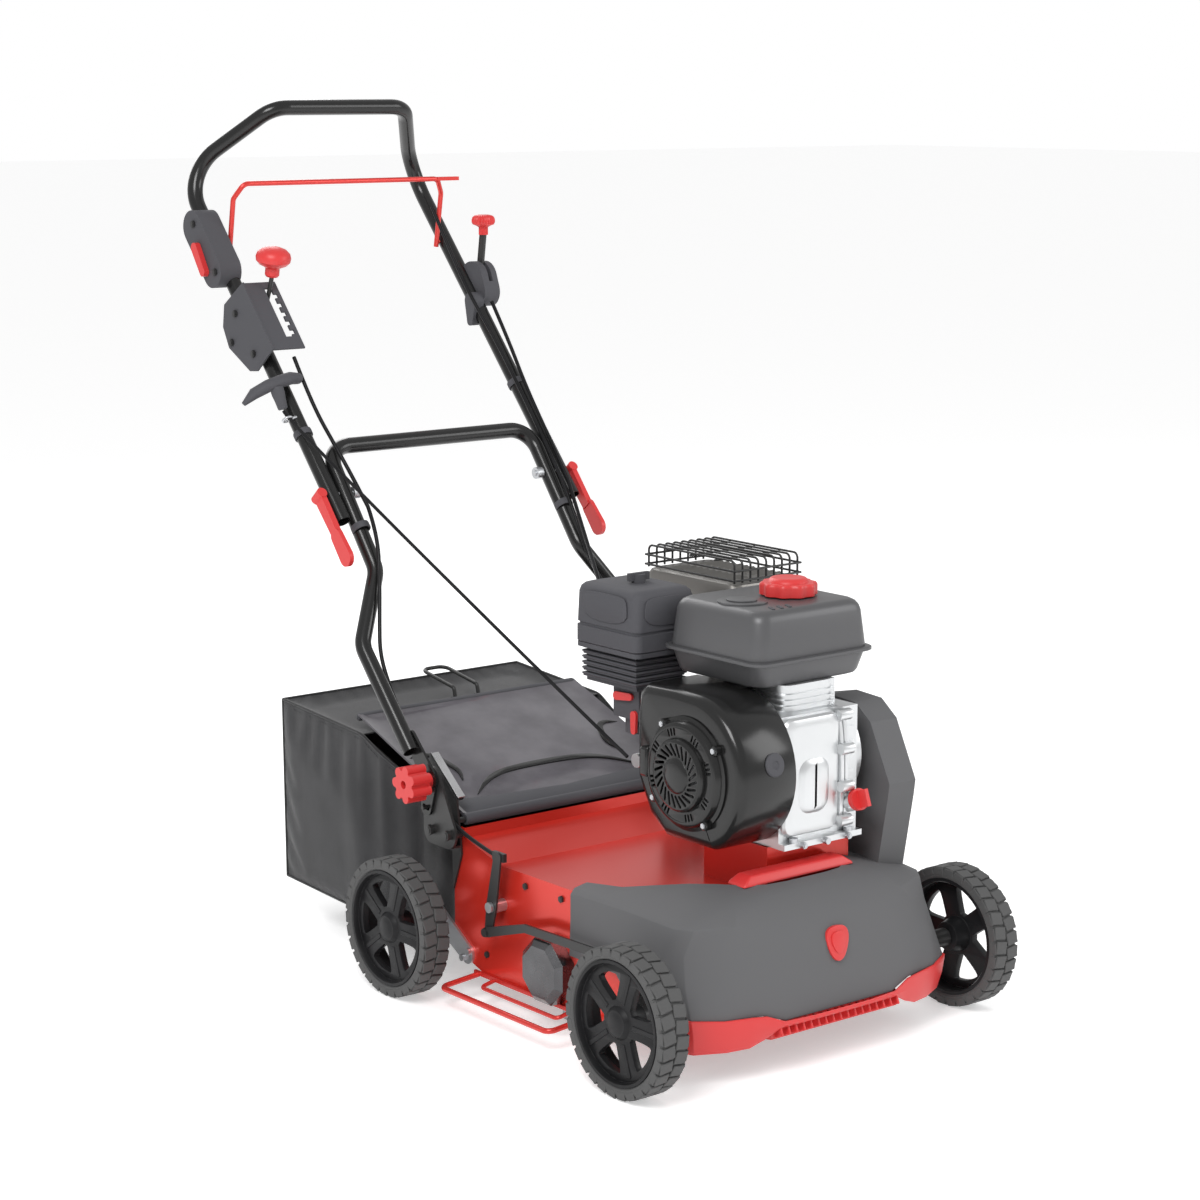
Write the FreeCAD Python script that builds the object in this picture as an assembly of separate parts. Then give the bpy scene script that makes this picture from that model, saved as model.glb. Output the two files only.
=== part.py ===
"""Petrol lawn dethatcher: a red steel deck on four wheels with a tine reel, a horizontal-shaft
engine, a folding handlebar with its controls, a rear flap and a fabric collecting bag.

Frame: millimetres. X runs across the machine, the front faces -Y, +Z is up. The origin lies on the
ground, on the centre plane, midway between the axles. The operator's right is at -X.
"""
import FreeCAD, Part
import math
import os

# ---- driving dimensions -------------------------------------------------------------------------
wheelbase = 526.0
wheel_radius = 100.0
wheel_width = 44.0
front_track = 644.0              # over the tyres
rear_track = 628.0
tyre_depth = 17.0
axle_radius = 8.0

running_gap = 0.05               # a shaft in its bore
moving_gap = 0.5                 # between pieces that pass each other
seat_gap = 0.3                   # between pieces that only rest side by side

deck_width = 430.0
deck_top = 207.0
deck_front_y = -265.0
deck_rear_y = 228.0
deck_sheet = 2.0
deck_bottom = 36.0

crank_arm = 50.0                 # front axle pivot to wheel axis
depth_arm = 38.0                 # arm that the depth link works
clevis_arm = 76.0                # arm that the depth cable pulls
depth_lean = 11.0                # degrees that both arms lean at rest
link_x = 242.0                   # outer face of the depth link
link_bar_height = 12.0
link_bar_thickness = 4.0

reel_axis = (-3.0, 87.0)         # y, z
reel_shaft_radius = 10.0
reel_drum_radius = 28.0
blade_radius = 80.0
blade_count = 16
blade_sheet = 2.0
reel_pulley_radius = 45.0

engine_base = 272.0
crank_axis = (-165.0, 378.0)     # y, z
crankshaft_radius = 11.0
blower_radius = 108.0
blower_left = -115.0
blower_right = -18.0
recoil_radius = 72.0
recoil_depth = 20.0
crankcase_right = 125.0
crankcase_wall = 6.0
drive_pulley_radius = 35.0
belt_plane = 183.0
belt_width = 12.0
belt_depth = 8.0
tension_pivot = (-107.0, 326.0)  # y, z
cover_inner_x = 158.0
cover_outer_x = 208.0
cover_wall = 3.0
cowl_top = 239.0

tank_low = 488.0
tank_flange = 523.0
tank_high = 592.0
filter_top = 597.0
cage_wire = 1.6
choke_pin = (52.0, 440.0)        # y, z
tap_pin = (14.0, 418.0)

tube_radius = 12.0
tube_wall = 1.8
handle_slope = 48.9              # degrees above the horizontal
clamp_pivot = (532.0, 682.0)     # y, z
clamp_cam_radius = 8.0
upper_half_width = 214.5
lower_half_width = 190.0
lower_spread = 250.0
gate_lift = 42.0                 # slotted face in front of the tube
depth_lever_x = -194.0
knob_axis = (250.0, 308.0)       # y, z
bracket_sheet = 4.0
bracket_inner = 216.0
bracket_outer = 238.0

flap_axis = (218.0, 251.0)       # y, z
flap_half_width = 204.0
flap_length = 287.0
flap_slope = 20.4                # degrees above the horizontal at rest
flap_sheet = 3.0
flap_rod_radius = 4.0

bag_wall = 3.0
bag_frame_radius = 3.5

cable_radius = 3.0
rope_radius = 2.5

# ---- derived places -----------------------------------------------------------------------------
front_axle = (-wheelbase / 2, wheel_radius)
rear_axle = (wheelbase / 2, wheel_radius)
axle_pivot = (front_axle[0] + crank_arm, wheel_radius)
bell_pivot = (112.0, wheel_radius + 52.0)
side = deck_width / 2
slope = (math.cos(math.radians(handle_slope)), math.sin(math.radians(handle_slope)))
rope_end = (-240.0, 617.0, 801.0)
rope_eye = (-238.5, 609.5, 789.0)


# ---- geometry helpers ---------------------------------------------------------------------------
def point(x, y, z):
    return FreeCAD.Vector(x, y, z)


def block(x0, x1, y0, y1, z0, z1):
    """A box between two corners."""
    return Part.makeBox(x1 - x0, y1 - y0, z1 - z0, point(x0, y0, z0))


def rod_x(place, radius, x0, x1):
    """A cylinder along X, at place = (y, z)."""
    return Part.makeCylinder(radius, x1 - x0, point(x0, place[0], place[1]), point(1, 0, 0))


def rod_y(x, z, radius, y0, y1):
    return Part.makeCylinder(radius, y1 - y0, point(x, y0, z), point(0, 1, 0))


def rod_z(x, y, radius, z0, z1):
    return Part.makeCylinder(radius, z1 - z0, point(x, y, z0), point(0, 0, 1))


def ring_x(place, outer, inner, x0, x1):
    return rod_x(place, outer, x0, x1).cut(rod_x(place, inner, x0 - 1, x1 + 1))


def plate_x(outline, x0, x1):
    """A flat plate of thickness x1 - x0 whose outline is a list of (y, z)."""
    corners = [point(x0, y, z) for y, z in outline]
    face = Part.Face(Part.makePolygon(corners + corners[:1]))
    return face.extrude(point(x1 - x0, 0, 0))


def strap_x(a, radius_a, b, radius_b, x0, x1):
    """A plate with two round ends, joined by their common tangents."""
    base = math.atan2(b[1] - a[1], b[0] - a[0])
    turn = math.acos((radius_a - radius_b) / math.dist(a, b))

    def rim(centre, radius, angle):
        return point(x0, centre[0] + radius * math.cos(angle), centre[1] + radius * math.sin(angle))

    near = [rim(a, radius_a, base + t) for t in (turn, math.pi, -turn)]
    far = [rim(b, radius_b, base + t) for t in (-turn, 0.0, turn)]
    edges = [Part.Arc(*near).toShape(), Part.LineSegment(near[2], far[0]).toShape(),
             Part.Arc(*far).toShape(), Part.LineSegment(far[2], near[0]).toShape()]
    return Part.Face(Part.Wire(edges)).extrude(point(x1 - x0, 0, 0))


def strip_x(path, thickness, x0, x1):
    """A folded sheet: path is its outer line in (y, z), and the metal lies to the path's right."""
    inner = []
    for i, here in enumerate(path):
        turns = []
        for a, b in ((i - 1, i), (i, i + 1)):
            if 0 <= a and b < len(path):
                run = (path[b][0] - path[a][0], path[b][1] - path[a][1])
                turns.append((run[1] / math.hypot(*run), -run[0] / math.hypot(*run)))
        normal = (sum(t[0] for t in turns) / len(turns), sum(t[1] for t in turns) / len(turns))
        reach = thickness / (normal[0] ** 2 + normal[1] ** 2)
        inner.append((here[0] + normal[0] * reach, here[1] + normal[1] * reach))
    return plate_x(list(path) + inner[::-1], x0, x1)


def bent_path(points, bend):
    """A wire of straight runs joined by tangent arcs; bend is one radius, or one for each corner."""
    places = [point(*p) for p in points]
    radii = bend if isinstance(bend, (list, tuple)) else [bend] * (len(places) - 2)
    edges, start = [], places[0]
    for before, corner, after, radius in zip(places, places[1:], places[2:], radii):
        back, ahead = (before - corner).normalize(), (after - corner).normalize()
        half = back.getAngle(ahead) / 2
        reach = radius / math.tan(half)
        middle = corner + (back + ahead).normalize() * (radius / math.sin(half) - radius)
        enter, leave = corner + back * reach, corner + ahead * reach
        edges.append(Part.LineSegment(start, enter).toShape())
        edges.append(Part.Arc(enter, middle, leave).toShape())
        start = leave
    edges.append(Part.LineSegment(start, places[-1]).toShape())
    return Part.Wire(edges)


def bar_along(points, radius, bend):
    """A solid round bar along a bent path."""
    path = bent_path(points, bend) if len(points) > 2 else Part.Wire(
        [Part.LineSegment(point(*points[0]), point(*points[1])).toShape()])
    first, second = point(*points[0]), point(*points[1])
    profile = Part.Face(Part.Wire([Part.Circle(first, second - first, radius).toShape()]))
    return path.makePipe(profile)


def tube_along(points, radius, wall, bend):
    """A hollow round tube along a bent path."""
    return bar_along(points, radius, bend).cut(bar_along(points, radius - wall, bend))


def cord_along(points, radius):
    """A cord: each arc is as large as its two runs allow."""
    places = [point(*p) for p in points]
    radii = []
    for before, corner, after in zip(places, places[1:], places[2:]):
        turn = math.pi - (before - corner).getAngle(after - corner)
        shorter = min((before - corner).Length, (after - corner).Length)
        radii.append(0.45 * shorter / math.tan(turn / 2))
    return bar_along(points, radius, radii), radii


def mirrored(shape):
    return shape.mirror(point(0, 0, 0), point(1, 0, 0))


def both_sides(shape):
    return Part.makeCompound([shape, mirrored(shape)])


def group(shapes):
    return Part.makeCompound(list(shapes))


def fuse(shapes):
    first, *rest = shapes
    return first.multiFuse(rest).removeSplitter() if rest else first


def loft(rings):
    """A solid between closed rings of points, with flat or ruled faces."""
    wires = []
    for ring in rings:
        corners = [point(*p) for p in ring]
        wires.append(Part.makePolygon(corners + corners[:1]))
    return Part.makeLoft(wires, True, True)


def along_handle(distance, lift=0.0):
    """(y, z) at a distance up the handlebar from the clamp, lift in front of the tube."""
    return (clamp_pivot[0] + distance * slope[0] - lift * slope[1],
            clamp_pivot[1] + distance * slope[1] + lift * slope[0])


def turned(place, centre, degrees):
    """A (y, z) place turned about centre by the right-hand rule about +X."""
    a = math.radians(degrees)
    y, z = place[0] - centre[0], place[1] - centre[1]
    return (centre[0] + y * math.cos(a) - z * math.sin(a), centre[1] + y * math.sin(a) + z * math.cos(a))


# ---- wheels -------------------------------------------------------------------------------------
def wheel(axle, track):
    """The wheel on the operator's left (+X): a spoked rim with its tyre around it."""
    outer = track / 2
    inner = outer - wheel_width
    rim_radius = wheel_radius - tyre_depth
    rim_wall = 6.0
    web_x = (inner + 12.0, outer - 6.0)
    rim = ring_x(axle, rim_radius, rim_radius - rim_wall, inner + 2, outer - 2)
    web = rod_x(axle, rim_radius - rim_wall, *web_x)
    for k in range(5):
        hole = turned((axle[0] + 47.0, axle[1]), axle, 72.0 * k + 18.0)
        web = web.cut(rod_x(hole, 19.0, web_x[0] - 1, web_x[1] + 1))
    hub = rod_x(axle, 20.0, inner + 1, outer - 1)
    rim = fuse([rim, web, hub]).cut(rod_x(axle, axle_radius + running_gap, inner, outer - 4))
    tyre = ring_x(axle, wheel_radius, rim_radius, inner, outer)
    tyre = tyre.makeChamfer(4.0, [e for e in tyre.Edges if abs(e.BoundBox.ZLength - 2 * wheel_radius) < 0.1
                                  and e.BoundBox.XLength < 0.1])
    return group([rim, tyre])


# ---- deck and what is fixed to it ---------------------------------------------------------------
def deck():
    top_line = [(deck_front_y, 75.0), (deck_front_y, 150.0), (deck_front_y + 23, deck_top),
                (120.0, deck_top),
                (200.0, deck_top + 22), (204.0, deck_top + 36)]
    side_line = top_line + [(deck_rear_y, deck_top + 36), (deck_rear_y, 62.0), (160.0, deck_bottom + 4),
                            (70.0, deck_bottom), (-150.0, deck_bottom)]
    left = plate_x(side_line, side - deck_sheet, side)
    skin = strip_x(top_line, deck_sheet, -side + deck_sheet, side - deck_sheet)
    wall = plate_x([(deck_front_y + 2, 75.0), (deck_front_y + 2, 150.0), (deck_front_y + 24, deck_top - 1),
                    (119.0, deck_top - 1), (190.0, 190.0), (150.0, 60.0), (-150.0, 60.0)],
                   cover_inner_x - 4, cover_inner_x - 2)
    shell = fuse([left, mirrored(left), skin, wall])
    shell = shell.cut(rod_x(reel_axis, reel_shaft_radius + 14, -side - 1, side - 10))
    shell = shell.cut(rod_x(axle_pivot, axle_radius + 4, -side - 1, side + 1))
    belt_slot = block(cover_inner_x + 4, cover_outer_x - 4, -150, 12, deck_top - 5, deck_top + 5)
    return shell.cut(belt_slot)


def engine_platform():
    """A folded pedestal that carries the engine above the deck."""
    outer = block(-22, 128, -221, -92, deck_top, engine_base)
    inner = block(-19, 125, -218, -95, deck_top - 1, engine_base - 3)
    return outer.cut(inner)


def cowl_rings(inset):
    """The faceted front cowl's outline at five heights, drawn in by inset."""
    def ring(z, half):
        half = [(-x + inset, y + (inset if y < -60 else 0.0), z) for x, y in half]
        return half + [(-x, y, z) for x, y, z in reversed(half)]

    low = -1.0 if inset else 0.0
    return [ring(95.0 + low, [(222, -45), (236, -150), (236, -300), (190, -326), (105, -342)]),
            ring(160.0, [(220, -45), (232, -160), (231, -281), (190, -312), (112, -335)]),
            ring(206.0 - inset / 2, [(219, -45), (225, -185), (219, -256), (183, -298), (125, -314)]),
            ring(222.0 - inset, [(218, -45), (218, -187), (204, -232), (150, -276), (95, -302)]),
            ring(cowl_top - inset, [(190, -45), (190, -150), (165, -200), (120, -240), (70, -275)])]


def front_cowl():
    cowl = loft(cowl_rings(0.0)).cut(loft(cowl_rings(3.0)))
    cowl = cowl.cut(block(-260, 260, -46, -40, 90, 250)).cut(block(-260, 260, -150, -40, 90, 118))
    opening = [(-186, -40), (-28, -126), (-28, -224), (133, -224), (133, -190), (cover_inner_x - 4, -190),
               (cover_inner_x - 4, -273), (cover_outer_x + 4, -273), (cover_outer_x + 4, -40)]
    corners = [point(x, y, deck_top + 1) for x, y in opening]
    cowl = cowl.cut(Part.Face(Part.makePolygon(corners + corners[:1])).extrude(point(0, 0, 60)))
    shaft_slot = fuse([rod_x(axle_pivot, 12, -240, 240),
                       block(-240, 240, axle_pivot[0] - 12, axle_pivot[0] + 12, 80, axle_pivot[1])])
    return cowl.cut(shaft_slot).cut(front_reflector())


def bumper_trim():
    """The red lower lip that wraps the cowl's front, with a row of vents."""
    def ring(z, grow):
        half = [(-237.0 - grow, -285.0), (-237.0 - grow, -304.0 - grow), (-191.0, -330.0 - grow),
                (-107.0, -346.0 - grow)]
        return [(x, y, z) for x, y in half] + [(-x, y, z) for x, y in reversed(half)]

    outer = loft([ring(48.0, -9.0), ring(94.5, 0.0)])
    inner = loft([ring(47.0, -12.5), ring(95.5, -3.0)])
    trim = outer.cut(inner).cut(block(-250, 250, -286, -280, 40, 100))
    for k in range(-7, 8):
        trim = trim.cut(block(15.0 * k - 3.5, 15.0 * k + 3.5, -352, -325, 53, 72))
    return trim


def carry_handle():
    """The lifting lug on the cowl's brow."""
    return loft([[(-100, -262, cowl_top), (-100, -228, cowl_top), (100, -228, cowl_top),
                  (100, -262, cowl_top)],
                 [(-82, -256, cowl_top + 8), (-82, -233, cowl_top + 12), (82, -233, cowl_top + 12),
                  (82, -256, cowl_top + 8)]])


def front_reflector():
    """A plain rounded lozenge lens set in the cowl's front face."""
    lens = rod_y(0, -9, 24, -342, -332).fuse(rod_y(0, 12, 20, -342, -332)).fuse(
        block(-20, 20, -342, -332, -9, 12)).removeSplitter()
    lens.rotate(point(0, -337, 0), point(1, 0, 0), -14)
    lens.translate(point(0, 3, 167))
    return lens


def side_guard():
    """A double wire loop that keeps feet away from the reel."""
    outer = bar_along([(-side - 1, 171, 36), (-282, 171, 30), (-282, -76, 30), (-side - 1, -76, 36)], 4.0,
                      12.0)
    inner = bar_along([(-side - 1, 133, 36), (-240, 133, 31), (-240, -41, 31), (-side - 1, -41, 36)], 3.0,
                      8.0)
    foot = plate_x([(-84, 35.5), (178, 35.5), (178, 41.5), (-84, 41.5)], -side - 4, -side)
    outer = outer.cut(foot)
    inner = inner.cut(foot)
    return group([outer, inner, foot])


def handle_bracket():
    """The left (+X) bracket: two plates and a web, bolted to the deck's side."""
    inner_x = (bracket_inner, bracket_inner + bracket_sheet - 1)
    outer_x = (bracket_outer - bracket_sheet, bracket_outer)
    inner = plate_x([(280, 338), (216, 283), (206, 205), (226, 150), (228, 205), (266, 212), (284, 318)],
                    *inner_x)
    lip = plate_x([(280, 338), (216, 283), (219, 280), (283, 335)], bracket_inner - 10, inner_x[1])
    slot = strap_x((256, 287), 3.5, (233, 263), 3.5, inner_x[0] - 1, inner_x[1] + 1)
    outer = fuse([strap_x(knob_axis, 19, (215, 236), 22, *outer_x),
                  strap_x((215, 236), 22, (252, 233), 18, *outer_x),
                  strap_x(knob_axis, 19, (252, 233), 18, *outer_x)])
    web = block(inner_x[1], outer_x[0], 206, 262, 215, 218)
    bracket = fuse([inner.cut(slot), lip, outer, web])
    bracket = bracket.cut(rod_x(knob_axis, 5.0, outer_x[0] - 1, outer_x[1] + 1))
    for place in ((248, 236), (206, 236)):
        bracket = bracket.fuse(rod_x(place, 6.5, inner_x[1], bracket_outer + 5))
    return bracket.fuse(rod_x(lock_bolt(), 3.0, bracket_outer, bracket_outer + 11)).removeSplitter()


def lock_bolt():
    """(y, z) of the bolt that the arc slot in the handle's foot slides over."""
    return (knob_axis[0] + 8.0, knob_axis[1] - 41.0)


def flap_rod():
    return rod_x(flap_axis, flap_rod_radius, -bracket_inner, bracket_inner)


def rear_axle_plate():
    """A steel plate on the deck's side, with the rear wheel's stub axle."""
    plate = strap_x((195, 60), 14, rear_axle, 17, side, side + 4)
    stub = rod_x(rear_axle, axle_radius, side + 4, rear_track / 2 - 4.5)
    collar = rod_x(rear_axle, 14, side + 4, rear_track / 2 - wheel_width - moving_gap)
    return fuse([plate, stub, collar])


def shaft_bearings():
    """Ball bearing rings of the reel and bushes of the front axle."""
    reel_ring = [ring_x(reel_axis, reel_shaft_radius + 14, reel_shaft_radius + running_gap, -side,
                        -side + 12),
                 ring_x(reel_axis, reel_shaft_radius + 14, reel_shaft_radius + running_gap,
                        cover_inner_x - 6,
                        cover_inner_x + 4)]
    bush = ring_x(axle_pivot, axle_radius + 4, axle_radius + running_gap, side - 3, side + 1)
    return group(reel_ring + [bush, mirrored(bush)])


def bearing_cap():
    """The eight-sided cap over the reel's right-hand bearing."""
    def octagon(radius, x):
        return [(x, reel_axis[0] + radius * math.cos(math.radians(45 * k + 22.5)),
                 reel_axis[1] + radius * math.sin(math.radians(45 * k + 22.5))) for k in range(8)]

    cap = loft([octagon(48, -side), octagon(48, -side - 20), octagon(38, -side - 28)])
    return cap.cut(rod_x(reel_axis, 26, -side - 24, -side))


def reel():
    """The shaft with its drum and pulley, and the blades threaded on the drum."""
    shaft = rod_x(reel_axis, reel_shaft_radius, -side - 20, belt_plane + 14)
    drum = rod_x(reel_axis, reel_drum_radius, -side + 16, cover_inner_x - 10)
    pulley = fuse([rod_x(reel_axis, reel_pulley_radius, belt_plane - 7, belt_plane + 7),
                   ring_x(reel_axis, reel_pulley_radius + 5, 20, belt_plane - 9, belt_plane - 7),
                   ring_x(reel_axis, reel_pulley_radius + 5, 20, belt_plane + 7, belt_plane + 9)])
    pulley = pulley.cut(rod_x(reel_axis, reel_shaft_radius, 0, 300))
    blades = []
    pitch = (cover_inner_x + side - 46) / (blade_count - 1)
    for k in range(blade_count):
        x = -side + 26 + pitch * k
        outline = []
        for tooth in range(4):
            for radius, angle in ((blade_radius, 0), (blade_radius, 9), (40, 26), (40, 64)):
                start = turned((reel_axis[0] + radius, reel_axis[1]), reel_axis,
                               90 * tooth + angle + 22.5 * k)
                outline.append(start)
        blade = plate_x(outline, x - blade_sheet / 2, x + blade_sheet / 2)
        blades.append(blade.cut(rod_x(reel_axis, reel_drum_radius, x - 3, x + 3)))
    return group([fuse([shaft, drum]), pulley]), group(blades)


# ---- depth linkage ------------------------------------------------------------------------------
def front_axle_crank():
    """The cranked front axle: a cross shaft, two crank arms with stubs, and the arm for the link."""
    arm_x = (side + 26, side + 36)
    stub_end = front_track / 2 - 4.5
    collar_end = front_track / 2 - wheel_width - moving_gap
    arm = strap_x(axle_pivot, 15, front_axle, 15, *arm_x)
    stub = rod_x(front_axle, axle_radius, arm_x[1], stub_end)
    collar = rod_x(front_axle, 13, arm_x[1], collar_end)
    left = fuse([arm, stub, collar])
    shaft = rod_x(axle_pivot, axle_radius, -arm_x[0], arm_x[0])
    pin = turned((axle_pivot[0], axle_pivot[1] + depth_arm), axle_pivot, -depth_lean)
    lever_x = (-link_x - 4, -link_x - 1)
    lever = strap_x(axle_pivot, 12, pin, 8, *lever_x)
    stud = rod_x(pin, 3.5, lever_x[1], -link_x + link_bar_thickness + 2)
    return fuse([left, mirrored(left), shaft, lever, stud])


def bell_crank():
    """The upright lever on the deck's right side, with the clevis that the depth cable pulls."""
    low = turned((bell_pivot[0], bell_pivot[1] - depth_arm), bell_pivot, depth_lean)
    high = turned((bell_pivot[0], bell_pivot[1] + clevis_arm), bell_pivot, depth_lean)
    x = (-link_x + link_bar_thickness + 1, -link_x + link_bar_thickness + 4)
    lever = fuse([strap_x(bell_pivot, 11, low, 8, *x), strap_x(bell_pivot, 11, high, 8, *x)])
    lever = lever.cut(rod_x(bell_pivot, 4 + running_gap, x[0] - 1, x[1] + 1))
    lever = lever.cut(rod_x(low, 3.5 + running_gap, x[0] - 1, x[1] + 1))
    clevis = block(x[1], x[1] + 6, high[0] - 11, high[0] + 15, high[1] - 6, high[1] + 6)
    return fuse([lever, clevis]), low, high


def depth_link(rear_pin):
    """The flat bar from the bell crank forward to the front axle's arm."""
    front_pin = turned((axle_pivot[0], axle_pivot[1] + depth_arm), axle_pivot, -depth_lean)
    x = (-link_x, -link_x + link_bar_thickness)
    knees = [(30.0, 141.5), (-172.0, 146.0)]
    half = link_bar_height / 2
    bar = fuse([strap_x(rear_pin, half + 1, knees[0], half, *x),
                strap_x(knees[0], half, knees[1], half, *x),
                strap_x(knees[1], half, front_pin, half + 4, *x)])
    bar = bar.cut(rod_x(front_pin, 3.5 + 2.2, x[0] - 1, x[1] + 1))
    pin = rod_x(rear_pin, 3.5, x[1], x[1] + 5)
    head = rod_x(rear_pin, 6.0, x[0] - 3, x[0])
    return fuse([bar, pin, head])


# ---- drive --------------------------------------------------------------------------------------
def drive_belt():
    x = (belt_plane - belt_width / 2, belt_plane + belt_width / 2)
    crank_r, reel_r = drive_pulley_radius + seat_gap, reel_pulley_radius + seat_gap
    outer = strap_x(crank_axis, crank_r + belt_depth, reel_axis, reel_r + belt_depth, *x)
    return outer.cut(strap_x(crank_axis, crank_r, reel_axis, reel_r, x[0] - 1, x[1] + 1))


def crankshaft():
    shaft = rod_x(crank_axis, crankshaft_radius, blower_left + 6, belt_plane + 14)
    flywheel = rod_x(crank_axis, 84, -96, -64)
    for k in range(12):
        fin = turned((crank_axis[0] + 74, crank_axis[1]), crank_axis, 30.0 * k)
        flywheel = flywheel.cut(rod_x(fin, 7.0, -97, -80))
    pulley = fuse([rod_x(crank_axis, drive_pulley_radius, belt_plane - 7, belt_plane + 7),
                   rod_x(crank_axis, drive_pulley_radius + 5, belt_plane - 9, belt_plane - 7),
                   rod_x(crank_axis, drive_pulley_radius + 5, belt_plane + 7, belt_plane + 9)])
    bore = rod_x(crank_axis, crankshaft_radius, -200, 300)
    return shaft, flywheel.cut(bore), pulley.cut(bore)


def tension_arm():
    """The idler on its arm, inside the belt's loop, clear of it while the bail is released."""
    idler = (-60.0, 232.0)
    arm = strap_x(tension_pivot, 11, idler, 10, cover_inner_x + 6, cover_inner_x + 10)
    arm = arm.cut(rod_x(tension_pivot, 5 + running_gap, 0, 300))
    return fuse([arm, rod_x(idler, 15, cover_inner_x + 10, cover_inner_x + 34)])


def belt_cover():
    """A moulded cover over the pulleys, standing on the deck and open below."""
    def outline(g):
        return [(20 - g, deck_top), (-60 - g, 360), (-105 - g, 436 - g), (-150, 446 - g),
                (-200 + g / 2, 443 - g),
                (-230 + g, 420 - g), (-269 + g, 340), (-266 + g, 318), (-246 + g, deck_top)]

    cover = plate_x(outline(0), cover_inner_x, cover_outer_x)
    hollow = plate_x([(y, z if z > deck_top else z - 1) for y, z in outline(cover_wall)],
                     cover_inner_x + cover_wall, cover_outer_x - cover_wall)
    cover = cover.cut(hollow)
    return cover.cut(rod_x(crank_axis, crankshaft_radius + 6, cover_inner_x - 1,
                           cover_inner_x + cover_wall + 1))


# ---- engine -------------------------------------------------------------------------------------
def crankcase():
    x0, x1 = blower_right + moving_gap, crankcase_right
    outer = fuse([block(x0, x1, -238, -92, engine_base + 8, 452),
                  block(x0, x1, -250, -75, engine_base, engine_base + 8),
                  rod_x(crank_axis, 70, x1, x1 + 12)])
    inner = block(x0 + crankcase_wall, x1 - crankcase_wall, -238 + crankcase_wall, -92 - crankcase_wall,
                  engine_base + 8 + crankcase_wall, 452 - crankcase_wall)
    case = outer.cut(inner).cut(rod_x(crank_axis, crankshaft_radius + running_gap, x0 - 1, x1 + 20))
    for z in range(300, 440, 20):
        case = case.fuse(block(x0 + 8, x1 - 8, -241, -238, z, z + 4))
    boss = Part.makeCylinder(14, 22, point(104, -238, 318), point(0, -1, 0.35))
    post = [block(x, x + 14, y, y + 30, 452, tank_low - seat_gap) for x in (8, 90) for y in (-215, -125)]
    case = fuse([case, boss] + post)
    return case.cut(Part.makeCylinder(9.2, 40, point(104, -228, 314.5), point(0, -1, 0.35)))


def dipstick():
    """The oil filler's plug with its finger grip."""
    start = point(104, -238, 318)
    way = point(0, -1, 0.35).normalize()
    stem = Part.makeCylinder(8.8, 21, start + way * 3, way)
    head = Part.makeCylinder(15, 8, start + way * 23.5, way)
    grip = Part.makeBox(6, 16, 24, point(-3, 0, -12))
    grip.Placement = FreeCAD.Placement(start + way * 31.5, FreeCAD.Rotation(point(0, 1, 0), way))
    return fuse([stem, head, grip])


def cylinder():
    """The finned barrel with its head and rocker cover, and the spark plug."""
    barrel = block(2, 104, -91.5, 22, 300, 404)
    for z in range(308, 400, 12):
        barrel = barrel.cut(block(0, 12, -80, 22, z, z + 6)).cut(block(94, 106, -80, 22, z, z + 6))
    head = block(2, 104, 22, 62, 296, 408)
    for z in range(304, 404, 12):
        head = head.cut(block(0, 14, 26, 58, z, z + 6)).cut(block(92, 106, 26, 58, z, z + 6))
    rocker = block(14, 92, 62, 88, 312, 392)
    rocker = rocker.makeFillet(8, [e for e in rocker.Edges if e.BoundBox.YLength > 20])
    plug = group([rod_x((42, 344), 7, -6, 2), rod_x((42, 344), 10, -34, -6)])
    return fuse([barrel, head, rocker]), plug


def blower_housing():
    """The drum over the flywheel, with a flat foot."""
    x0, x1 = blower_left, blower_right
    drum = rod_x(crank_axis, blower_radius, x0, x1).common(block(x0, x1, -400, 100, engine_base + 9, 600))
    neck = block(x0 + 30, x1, crank_axis[0] + 20, -55, 420, tank_low - 3)
    inner = rod_x(crank_axis, blower_radius - 3, x0 + 3,
                  x1 + 1).common(block(x0, x1 + 1, -400, 100, engine_base + 12, 600))
    housing = fuse([drum, neck]).cut(inner)
    return housing.cut(rod_x(crank_axis, recoil_radius - 4, x0 - 1, x0 + 4))


def recoil_cover():
    """The slotted cup over the starter, with its raised hub and the rope's eyelet."""
    x1 = blower_left
    x0 = x1 - recoil_depth
    cup = rod_x(crank_axis, recoil_radius, x0, x1).cut(rod_x(crank_axis, recoil_radius - 3, x0 + 3, x1 + 1))
    cup = cup.fuse(rod_x(crank_axis, 37, x0 - 5, x0 + 3))
    for k in range(20):
        a = turned((crank_axis[0] + 45, crank_axis[1]), crank_axis, 18.0 * k)
        b = turned((crank_axis[0] + 62, crank_axis[1]), crank_axis, 18.0 * k)
        cup = cup.cut(strap_x(a, 2.5, b, 2.6, x0 - 1, x0 + 4))
    eyelet = block(x0 + 2, x1, crank_axis[0] + recoil_radius - 6, crank_axis[0] + recoil_radius + 12,
                   crank_axis[1] - 14, crank_axis[1] + 22)
    return fuse([cup, eyelet.cut(rod_x(crank_axis, recoil_radius - 1, x0, x1))])


def rounded_box(x0, x1, y0, y1, z0, z1, radius):
    box = block(x0, x1, y0, y1, z0, z1)
    return box.makeFillet(radius, [e for e in box.Edges if e.BoundBox.ZLength > z1 - z0 - 1])


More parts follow.
